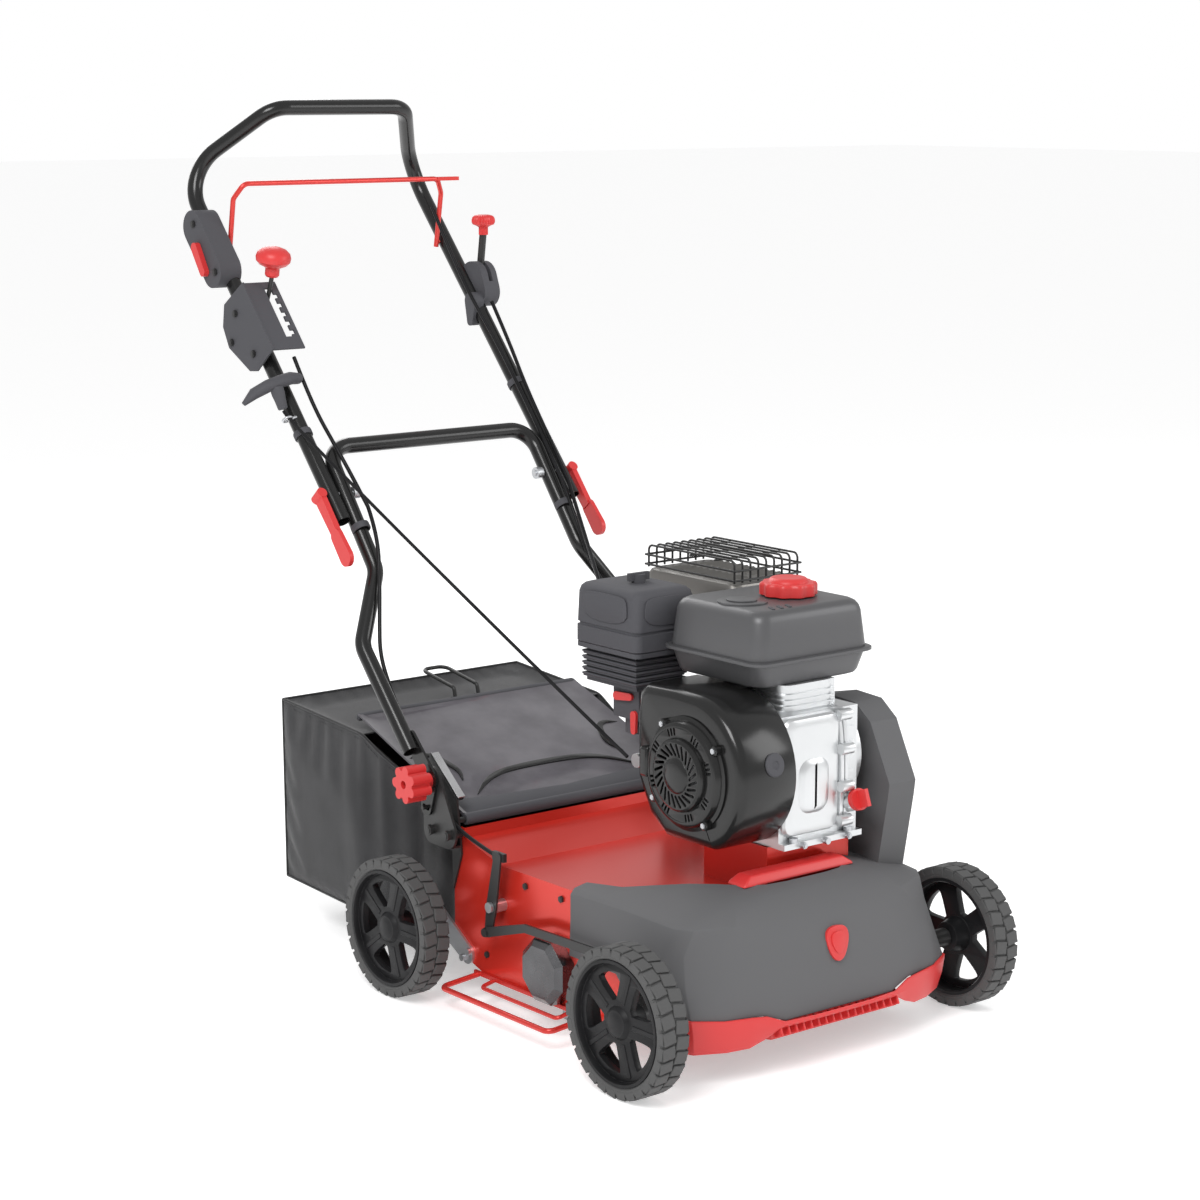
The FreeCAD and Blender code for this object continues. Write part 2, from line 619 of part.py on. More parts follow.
def fuel_tank():
    """A two-part pressed tank with its seam flange and filler neck."""
    def ring(z, g):
        return [(-50 + g, -230 + g, z), (172 - g, -230 + g, z), (172 - g, -25 - g, z),
                (-50 + g, -25 - g, z)]

    upper = loft([ring(tank_flange, 6.0), ring(tank_high, 20.0)])
    lower = loft([ring(tank_low, 14.0), ring(tank_flange, 6.0)])
    tank = fuse([upper, lower])
    tank = tank.makeFillet(9.0, [e for e in tank.Edges if e.BoundBox.ZLength > 30])
    hollow = loft([ring(tank_low + 3, 18.0), ring(tank_flange, 9.0), ring(tank_high - 3, 23.0)])
    flange = rounded_box(-50, 172, -230, -25, tank_flange - 2, tank_flange + 2, 22)
    neck = rod_z(90, -135, 24, tank_high - 4, tank_high + 9)
    tank = fuse([tank, flange, neck]).cut(hollow)
    return tank.cut(rod_z(90, -135, 20, tank_high - 10, tank_high + 10))


def tank_cap():
    cap = rod_z(90, -135, 40, tank_high + moving_gap, tank_high + 25)
    cap = cap.cut(rod_z(90, -135, 24 + moving_gap, tank_high - 1, tank_high + 10))
    for k in range(10):
        a = math.radians(36 * k)
        cap = cap.cut(rod_z(90 + 43 * math.cos(a), -135 + 43 * math.sin(a), 6, tank_high, tank_high + 18))
    return cap


def air_filter_cover():
    cover = rounded_box(-85, 25, -21, 117, 512, filter_top, 10)
    cover = cover.cut(block(-82, 22, -18, 114, 511, filter_top - 3))
    return cover.cut(rod_z(-25, 48, 4.5, 500, 620))


def filter_nut():
    """The wing nut on the filter's stud."""
    hub = rod_z(-25, 48, 10, filter_top + seat_gap, filter_top + 12)
    wing = block(-43, -7, 45, 51, filter_top + 3, filter_top + 14)
    stud = rod_z(-25, 48, 4, 515, filter_top + 2)
    return fuse([hub, wing, stud])


def carburettor():
    """Carburettor, ribbed intake elbow and the filter's base plate."""
    base = rounded_box(-84, 24, -20, 116, 505, 511.5, 10).cut(rod_z(-25, 48, 20, 500, 513))
    elbow = block(-72, 10, -6, 104, 456, 505)
    elbow = elbow.cut(block(-66, 4, 0, 98, 461, 500))
    for z in range(462, 504, 8):
        elbow = elbow.fuse(block(-76, 12, -9, 107, z, z + 4).cut(block(-71, 9, -5, 103, z - 1, z + 5)))
    body = block(-58, -4, 6, 62, 410, 456)
    bowl = rod_z(-31, 34, 22, 388, 410)
    duct = block(-4, 30, 22, 50, 409, 440)
    bores = fuse([rod_x(choke_pin, 2.85, -60, -45), rod_x(tap_pin, 2.85, -60, -45)])
    return fuse([base, elbow, body, bowl, duct]).cut(bores)


def small_lever(place, x0, length, angle, pin_radius=3.0):
    """A flat control lever on a pin along X."""
    tip = turned((place[0] + length, place[1]), place, angle)
    blade = strap_x(place, 6, tip, 5, x0, x0 + 4)
    pin = rod_x(place, pin_radius, x0 + 4, x0 + 11)
    return fuse([blade, pin])


def muffler():
    box = rounded_box(98, 230, -14, 186, 512, 588, 14)
    box = box.cut(rounded_box(100, 228, -12, 184, 514, 586, 12))
    pipe = bar_along([(110, 40, 400), (122, 40, 450), (130, 60, 513)], 14, 30)
    outlet = rod_y(170, 540, 11, 185, 210)
    return fuse([box, pipe.cut(block(2, 104, 22, 62, 296, 408)), outlet]).cut(rod_y(170, 540, 9, 180, 211))


def muffler_cage():
    """A welded wire guard over the muffler."""
    x0, x1, y0, y1, top, low = 104.0, 224.0, -8.0, 180.0, 620.0, 588.0
    hoops = []
    for k in range(9):
        x = x0 + (x1 - x0) * k / 8
        hoops.append(bar_along([(x, y0, low), (x, y0, top), (x, y1, top), (x, y1, low)], cage_wire, 8))
    lift = 2 * cage_wire
    rods = [rod_y(x, z, cage_wire, y0 - 4, y1 + 4) for x in (x0 - lift, x1 + lift) for z in (low + 4,
                                                                                             low + 18)]
    ties = [rod_x((y, z), cage_wire, x0 - lift, x1 + lift) for y in (y0 - lift,
                                                                     y1 + lift) for z in (low + 4,
                                                                                          low + 18)]
    ties += [rod_x((y, top - lift), cage_wire, x0 - 2, x1 + 2) for y in (y0 + 40, (y0 + y1) / 2, y1 - 40)]
    return group(hoops + rods + ties)


# ---- handlebar and controls ---------------------------------------------------------------------
def lower_handle():
    """The lower bow: a cross tube, two legs that spread, and their flattened feet."""
    rise = (clamp_pivot[0] + 48.5, clamp_pivot[1] + 63.6)
    knee, ankle = (452.0, 577.0), (403.0, 480.0)
    foot = (knob_axis[0] + 32, knob_axis[1] + 32 * slope[1] / slope[0])
    w, s = lower_half_width, lower_spread
    path = [(-s, *foot), (-s, *ankle), (-w, *knee), (-w, *rise), (w, *rise), (w, *knee), (s, *ankle),
            (s, *foot)]
    bow = tube_along(path, tube_radius, tube_wall, [45, 45, 38, 38, 45, 45])
    plate_at = (bracket_outer + moving_gap, bracket_outer + moving_gap + 4)
    blend_at = (foot[0] + 14, foot[1] + 14 * slope[1] / slope[0])
    plate = fuse([strap_x(blend_at, 12, knob_axis, 17, *plate_at),
                  strap_x(knob_axis, 17, lock_bolt(), 12, *plate_at)])
    plate = plate.cut(rod_x(knob_axis, 4 + running_gap * 4, plate_at[0] - 1, plate_at[1] + 1))
    for degrees in range(-7, 8):
        plate = plate.cut(rod_x(turned(lock_bolt(), knob_axis, degrees), 3.4, plate_at[0] - 1,
                                plate_at[1] + 1))
    left_bore = rod_x(clamp_pivot, 4.3, 170, 220)
    return fuse([bow.cut(fuse([plate, mirrored(plate)])), plate, mirrored(plate)]).cut(
        fuse([left_bore, mirrored(left_bore)]))


def upper_handle():
    """The upper bow, with its bent-in top grip."""
    low = along_handle(-48)
    corner = along_handle(610)
    grip = (814.7, 1243.6)
    w, g = upper_half_width, 123.5
    path = [(-w, *low), (-w, *corner), (-g, *grip), (g, *grip), (w, *corner), (w, *low)]
    bow = tube_along(path, tube_radius, tube_wall, [66, 45, 45, 66])
    bore = rod_x(clamp_pivot, 4.3, 180, 240)
    return bow.cut(fuse([bore, mirrored(bore)]))


def clamp_lever():
    """The left (+X) cam lever: its pin crosses the bolt's end, and it swings out from the tube."""
    x0 = upper_half_width + tube_radius + moving_gap
    across = point(0, -slope[1], slope[0])
    cam_start = point(x0 + clamp_cam_radius, *clamp_pivot) - across * 11
    cam = Part.makeCylinder(clamp_cam_radius, 22, cam_start, across)
    arm = plate_x([along_handle(*at) for at in ((0, 10), (0, -10), (-70, -8), (-70, 8))], x0 + 3, x0 + 12)
    paddle = strap_x(along_handle(-72), 12, along_handle(-108), 14, x0 + 5, x0 + 12)
    return fuse([cam, arm, paddle])


def clamp_bolt():
    x0 = upper_half_width + tube_radius
    inner = lower_half_width - tube_radius
    shank = rod_x(clamp_pivot, 4.0, inner - 14, x0)
    nut = rod_x(clamp_pivot, 9.0, inner - 12, inner - moving_gap)
    return fuse([shank, nut])


def bail():
    """The operator-presence bail on the inner side of the upper bow."""
    pivot = bail_pivot()
    top = (pivot[0] - 25, pivot[1] + 102)
    knee = (pivot[0] - 15, pivot[1] + 79)
    w = upper_half_width - tube_radius - 7
    path = [(-w, pivot[0], pivot[1] - 8), (-w, *knee), (-w + 14, *top), (w - 14, *top), (w, *knee),
            (w, pivot[0], pivot[1] - 8)]
    bar = bar_along(path, 4.0, [14, 14, 14, 14])
    pins = rod_x(pivot, 3.0, w - 1, w + 6)
    hook = plate_x([(top[0] - 4, top[1] - 3), (top[0] + 6, top[1] - 3), (top[0] + 6, top[1] + 3),
                    (top[0] - 4, top[1] + 3)],
                   w - 16, w + 26)
    return fuse([bar, pins, mirrored(pins), hook])


throttle_centre = along_handle(367, 14)


def bail_pivot():
    return along_handle(458)


def switch_box():
    """The moulded switch housing that clamps on the right-hand tube."""
    low, high = along_handle(420), along_handle(505)
    x0 = -upper_half_width - tube_radius - 16
    body = strap_x(low, 26, high, 26, x0, -upper_half_width + tube_radius - 3)
    tube_room = Part.makeCylinder(tube_radius + 0.1, 400, point(-upper_half_width, *along_handle(250)),
                                  point(0, *slope))
    return body.cut(tube_room)


def switch_rocker():
    """The red run/stop lever on the switch housing."""
    x0 = -upper_half_width - tube_radius - 16
    place = along_handle(470, -6)
    tip = along_handle(428, -12)
    lever = strap_x(place, 8, tip, 7, x0 - 9, x0 - moving_gap)
    return lever, place


def depth_gate():
    """The notched quadrant: a side plate on the tube, a slotted face and the lever's pivot pin."""
    x0, x1 = -upper_half_width - tube_radius - 8, -upper_half_width - tube_radius
    outline = ((361, 47), (369, -18), (346, -44), (312, -52), (250, -28), (238, -12), (236, 47))
    plate = plate_x([along_handle(*at) for at in outline], x0, x0 + 3)
    stands = [rod_x(along_handle(along), 8, x0 + 3, x1) for along in (262, 338)]
    face = plate_x([along_handle(*at) for at in ((236, gate_lift), (361, gate_lift), (361, gate_lift + 3),
                                                 (236, gate_lift + 3))], x0, -176)
    low, high = gate_lift - 4, gate_lift + 7
    face = face.cut(plate_x([along_handle(*at) for at in ((258, low), (349, low), (349, high),
                                                          (258, high))], -200, -188))
    for k in range(5):
        start = 262 + 17 * k
        notch = [along_handle(*at) for at in ((start, low), (start + 8, low), (start + 8, high),
                                              (start, high))]
        face = face.cut(plate_x(notch, -189, -182))
    pin = rod_x(gate_pivot(), 4.0, x0 + 3, depth_lever_x + 6)
    return fuse([plate, face, pin] + stands)


def gate_pivot():
    return along_handle(312, -38)


def depth_lever():
    """The lever with its red mushroom knob, through the gate's slot."""
    pivot = gate_pivot()
    x = depth_lever_x
    waist = along_handle(338, gate_lift + 4)
    crown = along_handle(371, 88)
    hub = rod_x(pivot, 8, x - 4, x + 4)
    stem = bar_along([(x, *pivot), (x, *waist), (x, *crown)], 3.5, 40)
    way = point(0, crown[0] - waist[0], crown[1] - waist[1]).normalize()
    centre = point(x, *crown)
    head = Part.makeSphere(27, centre).common(Part.makeCylinder(40, 25, centre - way * 10, way))
    collar = Part.makeCylinder(9, 22, centre - way * 28, way)
    return fuse([hub, stem, head, collar]).cut(rod_x(pivot, 4 + running_gap, x - 6, x + 6))


def throttle_housing():
    """The throttle lever's round housing on the front of the left-hand (+X) tube."""
    x0, x1 = upper_half_width, upper_half_width + 30
    body = strap_x(throttle_centre, 30, along_handle(345, 12), 24, x0, x1)
    swing = [along_handle(*at) for at in ((353, 0), (381, 0), (432, 40), (405, 84), (320, 84), (345, 40))]
    tube_room = Part.makeCylinder(tube_radius + 0.1, 400, point(upper_half_width, *along_handle(150)),
                                  point(0, *slope))
    foot = strap_x(along_handle(330, 8), 14, along_handle(306, -14), 7, x0 - 18, x0)
    housing = fuse([body, foot]).cut(plate_x(swing, x0 + 12.5, x0 + 19.5)).cut(tube_room)
    return housing.fuse(rod_x(throttle_centre, 3.0, x0 + 11.5, x0 + 20.5))


def throttle_lever():
    x = upper_half_width + 13.5
    tip = along_handle(420, 76)
    hub = rod_x(throttle_centre, 12, x, x + 5)
    stem = strap_x(throttle_centre, 6, tip, 5, x, x + 5)
    knob = rod_z(x + 2.5, tip[0], 8, tip[1] - 6,
                 tip[1] + 8).fuse(rod_z(x + 2.5, tip[0], 19, tip[1] + 8, tip[1] + 24))
    return fuse([hub, stem, knob]).cut(rod_x(throttle_centre, 3.0 + running_gap, x - 4, x + 9))


def starter_grip():
    """The recoil starter's T-grip, parked in front of the right-hand tube."""
    bar = bar_along([(-288, 644, 817), (-246, 629, 841), (-200, 640, 846)], 10.0, 40)
    stem = bar_along([(-245, 629.5, 838), (rope_end[0], rope_end[1] + 1.0, rope_end[2] + 2.5)], 8.0, 0)
    return fuse([stem, bar])


def rope_guide():
    """The wire eye on the upper bow that the starter rope runs through."""
    x, y, z = rope_eye
    eye = Part.makeTorus(7.0, 2.0, point(x, y, z), point(0.1, -0.6, -0.8))
    arm = bar_along([(x + 6.0, y + 1.0, z), (-upper_half_width - 6, y + 4.0, z + 2)], 2.0, 0)
    tube_room = Part.makeCylinder(tube_radius, 300, point(-upper_half_width, *along_handle(20)),
                                  point(0, *slope))
    return fuse([eye, arm.cut(tube_room)])


def star_knob():
    """The left (+X) star knob with its stud."""
    x0 = bracket_outer + moving_gap + 4 + seat_gap
    boss = rod_x(knob_axis, 11, x0, x0 + 12)
    star = [rod_x(knob_axis, 20, x0 + 12, x0 + 44)]
    for k in range(7):
        star.append(rod_x(turned((knob_axis[0] + 20, knob_axis[1]), knob_axis, 360 / 7 * k), 7, x0 + 12,
                          x0 + 44))
    stud = rod_x(knob_axis, 4, bracket_outer - bracket_sheet - 8, x0)
    return fuse([boss] + star + [stud]).cut(rod_x(knob_axis, 6, x0 + 32, x0 + 50))


# ---- flap and bag -------------------------------------------------------------------------------
def flap():
    """The discharge flap: a barrel on the rod, a moulded panel and its stiff rear edge."""
    end = turned((flap_axis[0] + flap_length, flap_axis[1]), flap_axis, flap_slope)
    barrel = rod_x(flap_axis, 7.5, -flap_half_width, flap_half_width)
    up = (-math.sin(math.radians(flap_slope)), math.cos(math.radians(flap_slope)))
    panel = plate_x([(flap_axis[0], flap_axis[1] + 2), end,
                     (end[0] - up[0] * flap_sheet, end[1] - up[1] * flap_sheet), (flap_axis[0],
                                                                                  flap_axis[1] - 2)],
                    -flap_half_width, flap_half_width)
    edge = rod_x((end[0], end[1] - 2), 5.0, -flap_half_width, flap_half_width)
    return fuse([barrel, panel, edge]).cut(rod_x(flap_axis, flap_rod_radius + running_gap, -250, 250))


def bag_sections(inset, open_top):
    """Rings of the bag from its mouth to its rear wall."""
    rows = [(246.0, 199.0, 82.0, 246.0), (330.0, 202.0, 62.0, 278.0), (400.0, 221.0, 57.0, 314.0),
            (446.0, 225.0, 57.0, 337.5)]
    rings = []
    for y, w, low, high in rows:
        top = 420.0 if open_top else high
        rings.append([(-w + inset, y, low + inset), (w - inset, y, low + inset), (w - inset, y, top),
                      (-w + inset, y, top)])
    return rings


def bag():
    """The fabric bag: a shell with an open mouth and an open front top that the flap covers."""
    def rear(y_low, y_high, inset):
        w_low, w_high = 200.0 - inset, 225.0 - inset
        return [(-w_low, y_low - inset, 62.0 + inset), (w_low, y_low - inset, 62.0 + inset),
                (w_high, y_high - inset, 354.0 - inset), (-w_high, y_high - inset, 354.0 - inset)]

    def middle(inset):
        w = 225.0 - inset
        return [(-w + 20, 490.0, 57.0 + inset), (w - 20, 490.0, 57.0 + inset), (w, 490.0, 341.0 - inset),
                (-w, 490.0, 341.0 - inset)]

    outer_rings = bag_sections(0.0, False)
    outer = loft(outer_rings + [middle(0.0), rear(694.0, 660.0, 0.0)])
    rear_room = loft([middle(bag_wall), rear(694.0, 660.0, bag_wall)])
    front_rings = bag_sections(bag_wall, True)
    front_rings[0] = [(x, y - 2, z) for x, y, z in front_rings[0]]
    w = 225.0 - bag_wall
    front_rings.append([(-w + 20, 466.0, 60.0), (w - 20, 466.0, 60.0), (w, 466.0, 420.0),
                        (-w, 466.0, 420.0)])
    top_room = loft([[(-w, 465.0, 60.0), (w, 465.0, 60.0), (w, 465.0, 336.0), (-w, 465.0, 336.0)],
                     [(-w + 20, 491.0, 60.0), (w - 20, 491.0, 60.0), (w, 491.0, 338.0),
                      (-w, 491.0, 338.0)]])
    return outer.cut(rear_room).cut(loft(front_rings)).cut(top_room).cut(bag_frame())


def bag_frame():
    """The wire frame that the bag hangs on, inside its rim."""
    half = [(-190.0, 256.0, 232.0), (-194.0, 330.0, 266.0), (-215.0, 446.0, 325.0), (-215.0, 644.0, 342.0)]
    path = half + [(-x, y, z) for x, y, z in reversed(half)]
    return bar_along(path, bag_frame_radius, [40, 60, 24, 24, 60, 40])


def bag_handle():
    """The wire carrying handle on the bag's top."""
    path = [(0, 520, 347.5), (0, 524, 364), (0, 610, 378), (44, 610, 378), (44, 524, 364), (44, 520, 347.5)]
    trunnions = [rod_x((520, 347.5), 3.0, x - 7, x + 7) for x in (0, 44)]
    return fuse([bar_along(path, 3.0, [6, 14, 14, 6])] + trunnions)


# ---- cords held along their whole route ---------------------------------------------------------
def beside(x, distance, lift):
    """A place at x that runs with the handlebar."""
    return (x, *along_handle(distance, lift))


starter_rope_route = [rope_end, rope_eye, (-136.0, -64.0, 385.0)]
depth_cable_route = [beside(-192, 230, 30), beside(-192, 190, 26), beside(-190, 130, 21),
                     beside(-187, 78, 23),
                     beside(-181, 20, 22), beside(-178, -40, 22), beside(-184, -92, 22), (-204, 423, 560),
                     (-221, 400, 507), (-231, 385, 468), (-232, 362, 426), (-231, 330, 382), (-230, 292,
                                                                                              335),
                     (-229, 262, 290), (-227, 225, 256), (-229, 180, 238), (-230, 114, 226.6)]
throttle_cable_route = [beside(226, 316, 22), beside(222, 240, 21), beside(212, 150, 20),
                        beside(208, 60, 20),
                        beside(202, -30, 22), (176, 430, 616), (132, 340, 560), (82, 240, 500), (40, 160,
                                                                                                 462),
                        (3, 68, 436)]
bail_cable_route = [beside(187, 500, 38), beside(190, 400, 25), beside(190, 320, 22), beside(199, 240, 20),
                    beside(196, 60, 21), beside(190, -30, 22), beside(184, -86, 22),
                    (188, 434, 570), (206, 400, 505), (220, 372, 440), (220, 322, 384), (214, 262, 356),
                    (207, 200, 346), (204, 140, 330), (200, 90, 304), (192, 40, 290), (190, -10, 288)]


def control_cables():
    cords = [cord_along(route, cable_radius)
             for route in (depth_cable_route, throttle_cable_route, bail_cable_route)]
    for _, radii in cords:
        print("cable bend radii", [round(r) for r in radii])
    return group(shape for shape, _ in cords)


def machine_bolts():
    """Hex-headed screws of the deck, the axle plates and the bell crank's pivot."""
    bell_x = -link_x + link_bar_thickness + 4
    heads = [fuse([rod_x(bell_pivot, 9.0, bell_x + seat_gap, -side),
                   rod_x(bell_pivot, 4.0, bell_x - 7, -side),
                   rod_x(bell_pivot, 7.5, bell_x - 8, bell_x - 3 - seat_gap)])]
    for place in ((188, 66), (202, 54)):
        screw = rod_x(place, 5.0, side + 4, side + 9)
        heads += [screw, mirrored(screw)]
    drain = rod_y(55, 276, 4.5, -259, -250)
    feet = [rod_z(x, y, 6, engine_base + 8, engine_base + 14) for x in (4, 104) for y in (-244.5, -83.5)]
    return group(heads + [drain] + feet)


# ---- all nodes ----------------------------------------------------------------------------------
def build():
    nodes = {}
    nodes["front_left_wheel"] = wheel(front_axle, front_track)
    nodes["front_right_wheel"] = mirrored(nodes["front_left_wheel"])
    nodes["rear_left_wheel"] = wheel(rear_axle, rear_track)
    nodes["rear_right_wheel"] = mirrored(nodes["rear_left_wheel"])

    nodes["deck_shell"] = deck()
    nodes["engine_platform"] = engine_platform()
    nodes["front_cowl"] = front_cowl()
    nodes["bumper_trim"] = bumper_trim()
    nodes["carry_handle"] = carry_handle()
    nodes["front_reflector"] = front_reflector()
    nodes["side_guards"] = both_sides(side_guard())
    nodes["handle_brackets"] = group([both_sides(handle_bracket()), flap_rod()])
    nodes["rear_axle_plates"] = both_sides(rear_axle_plate())
    nodes["bearing_cap"] = bearing_cap()
    nodes["reel_shaft"], nodes["reel_blades"] = reel()

    nodes["front_axle"] = front_axle_crank()
    nodes["bell_crank"], rear_pin, _ = bell_crank()
    nodes["depth_link"] = depth_link(rear_pin)

    nodes["drive_belt"] = drive_belt()
    shaft, flywheel, nodes["drive_pulley"] = crankshaft()
    nodes["crankshaft"] = group([shaft, flywheel])
    nodes["tension_arm"] = tension_arm()
    nodes["belt_cover"] = fuse([belt_cover(), rod_x(tension_pivot, 5, cover_inner_x + cover_wall - 1,
                                                    cover_inner_x + 12)])

    nodes["crankcase"] = crankcase()
    nodes["dipstick"] = dipstick()
    nodes["cylinder_head"] = group(cylinder())
    nodes["blower_housing"] = blower_housing()
    nodes["recoil_cover"] = recoil_cover()
    nodes["fuel_tank"] = fuel_tank()
    nodes["tank_cap"] = tank_cap()
    nodes["air_filter_cover"] = air_filter_cover()
    nodes["filter_nut"] = filter_nut()
    nodes["carburettor"] = carburettor()
    nodes["choke_lever"] = small_lever(choke_pin, -58 - 4 - moving_gap, 30, 175, 2.8)
    nodes["fuel_tap"] = small_lever(tap_pin, -58 - 4 - moving_gap, 22, 270, 2.8)
    nodes["muffler"] = muffler()
    nodes["muffler_cage"] = muffler_cage()

    nodes["lower_handle"] = lower_handle()
    nodes["upper_handle"] = upper_handle()
    nodes["left_clamp_lever"] = clamp_lever()
    nodes["right_clamp_lever"] = mirrored(nodes["left_clamp_lever"])
    nodes["handle_hardware"] = group([both_sides(clamp_bolt()), rope_guide()])
    nodes["bail"] = bail()
    nodes["switch_box"] = switch_box()
    nodes["switch_rocker"], _ = switch_rocker()
    nodes["depth_gate"] = depth_gate()
    nodes["depth_lever"] = depth_lever()
    nodes["throttle_housing"] = throttle_housing()
    nodes["throttle_lever"] = throttle_lever()
    nodes["starter_grip"] = starter_grip()
    nodes["left_star_knob"] = star_knob()
    nodes["right_star_knob"] = mirrored(nodes["left_star_knob"])

    nodes["flap"] = flap()
    nodes["bag"] = bag()
    nodes["bag_frame"] = bag_frame()
    nodes["bag_handle"] = bag_handle()

    nodes["starter_rope"] = bar_along(starter_rope_route, rope_radius, 10)
    nodes["control_cables"] = control_cables()
    nodes["deck_hardware"] = group([shaft_bearings(), machine_bolts()])
    return nodes


os.makedirs("parts", exist_ok=True)
for name, shape in build().items():
    shape.exportStep(f"parts/{name}.step")
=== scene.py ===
"""Looks of a walk-behind petrol lawn dethatcher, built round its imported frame.

Sizes are written in millimetres and meshes are made in metres. X runs across the machine, the front
faces -Y and +Z is up; the operator's right, with the recoil starter, is at -X.
"""
import logging
import math
from dataclasses import dataclass
from enum import Enum
from typing import Any, Callable, Iterable, Sequence

import bmesh
import bpy
from mathutils import Matrix, Vector
from mathutils.geometry import tessellate_polygon


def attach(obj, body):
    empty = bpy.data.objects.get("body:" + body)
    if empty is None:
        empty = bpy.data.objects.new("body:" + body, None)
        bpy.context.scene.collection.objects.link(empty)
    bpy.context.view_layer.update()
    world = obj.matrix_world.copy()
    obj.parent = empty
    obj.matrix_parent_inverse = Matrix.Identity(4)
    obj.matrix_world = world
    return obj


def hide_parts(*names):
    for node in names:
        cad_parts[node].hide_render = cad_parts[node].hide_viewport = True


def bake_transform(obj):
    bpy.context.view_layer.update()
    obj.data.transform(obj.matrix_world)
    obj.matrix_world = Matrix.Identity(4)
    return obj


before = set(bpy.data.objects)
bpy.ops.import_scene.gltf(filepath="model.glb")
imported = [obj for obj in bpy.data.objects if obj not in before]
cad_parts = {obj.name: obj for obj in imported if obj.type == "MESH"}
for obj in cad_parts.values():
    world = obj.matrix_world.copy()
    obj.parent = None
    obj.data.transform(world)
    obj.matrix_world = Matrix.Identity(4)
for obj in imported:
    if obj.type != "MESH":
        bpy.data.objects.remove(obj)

LOG = logging.getLogger("dethatcher")
MM = 0.001
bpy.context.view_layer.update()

Place = Sequence[float]
Ring = list[tuple[float, float, float]]
Flat = list[tuple[float, float]]


# ---- finishes -----------------------------------------------------------------------------------
class Grain(Enum):
    """The fine relief of a surface."""

    PAINT = "paint"
    MOULDED = "moulded"
    CAST = "cast"
    BRUSHED = "brushed"
    RUBBER = "rubber"
    WOVEN = "woven"
    TINTED = "tinted"
    BRAIDED = "braided"


@dataclass(frozen=True)
class Relief:
    """Size and depth of a grain in millimetres, and how much it varies the roughness."""

    size: float
    depth: float
    spread: float


RELIEFS: dict[Grain, Relief] = {
    Grain.PAINT: Relief(2.6, 0.012, 0.05),
    Grain.MOULDED: Relief(0.8, 0.05, 0.08),
    Grain.CAST: Relief(1.6, 0.22, 0.12),
    Grain.BRUSHED: Relief(0.7, 0.02, 0.12),
    Grain.RUBBER: Relief(0.6, 0.05, 0.08),
    Grain.WOVEN: Relief(1.1, 0.25, 0.05),
    Grain.TINTED: Relief(1.4, 0.04, 0.15),
    Grain.BRAIDED: Relief(1.2, 0.25, 0.06),
}


@dataclass(frozen=True)
class Finish:
    """One finish: its colour, gloss and grain, the edge tone that wear leaves, and its record slot."""

    slot: str
    colour: tuple[float, float, float]
    roughness: float
    grain: Grain
    metallic: float = 0.0
    coat: float = 0.0
    edge: tuple[float, float, float] | None = None
    second: tuple[float, float, float] | None = None
    bevel: float = 0.9
    specular: float = 0.16

    def material(self, name: str) -> bpy.types.Material:
        """The material of this finish, made the first time it is asked for.

        Args:
            name: the finish's name, which the material takes.

        Returns:
            The material, ready to go in a slot.
        """
        found = bpy.data.materials.get(name)
        return found if found else MaterialMaker(name, self).make()


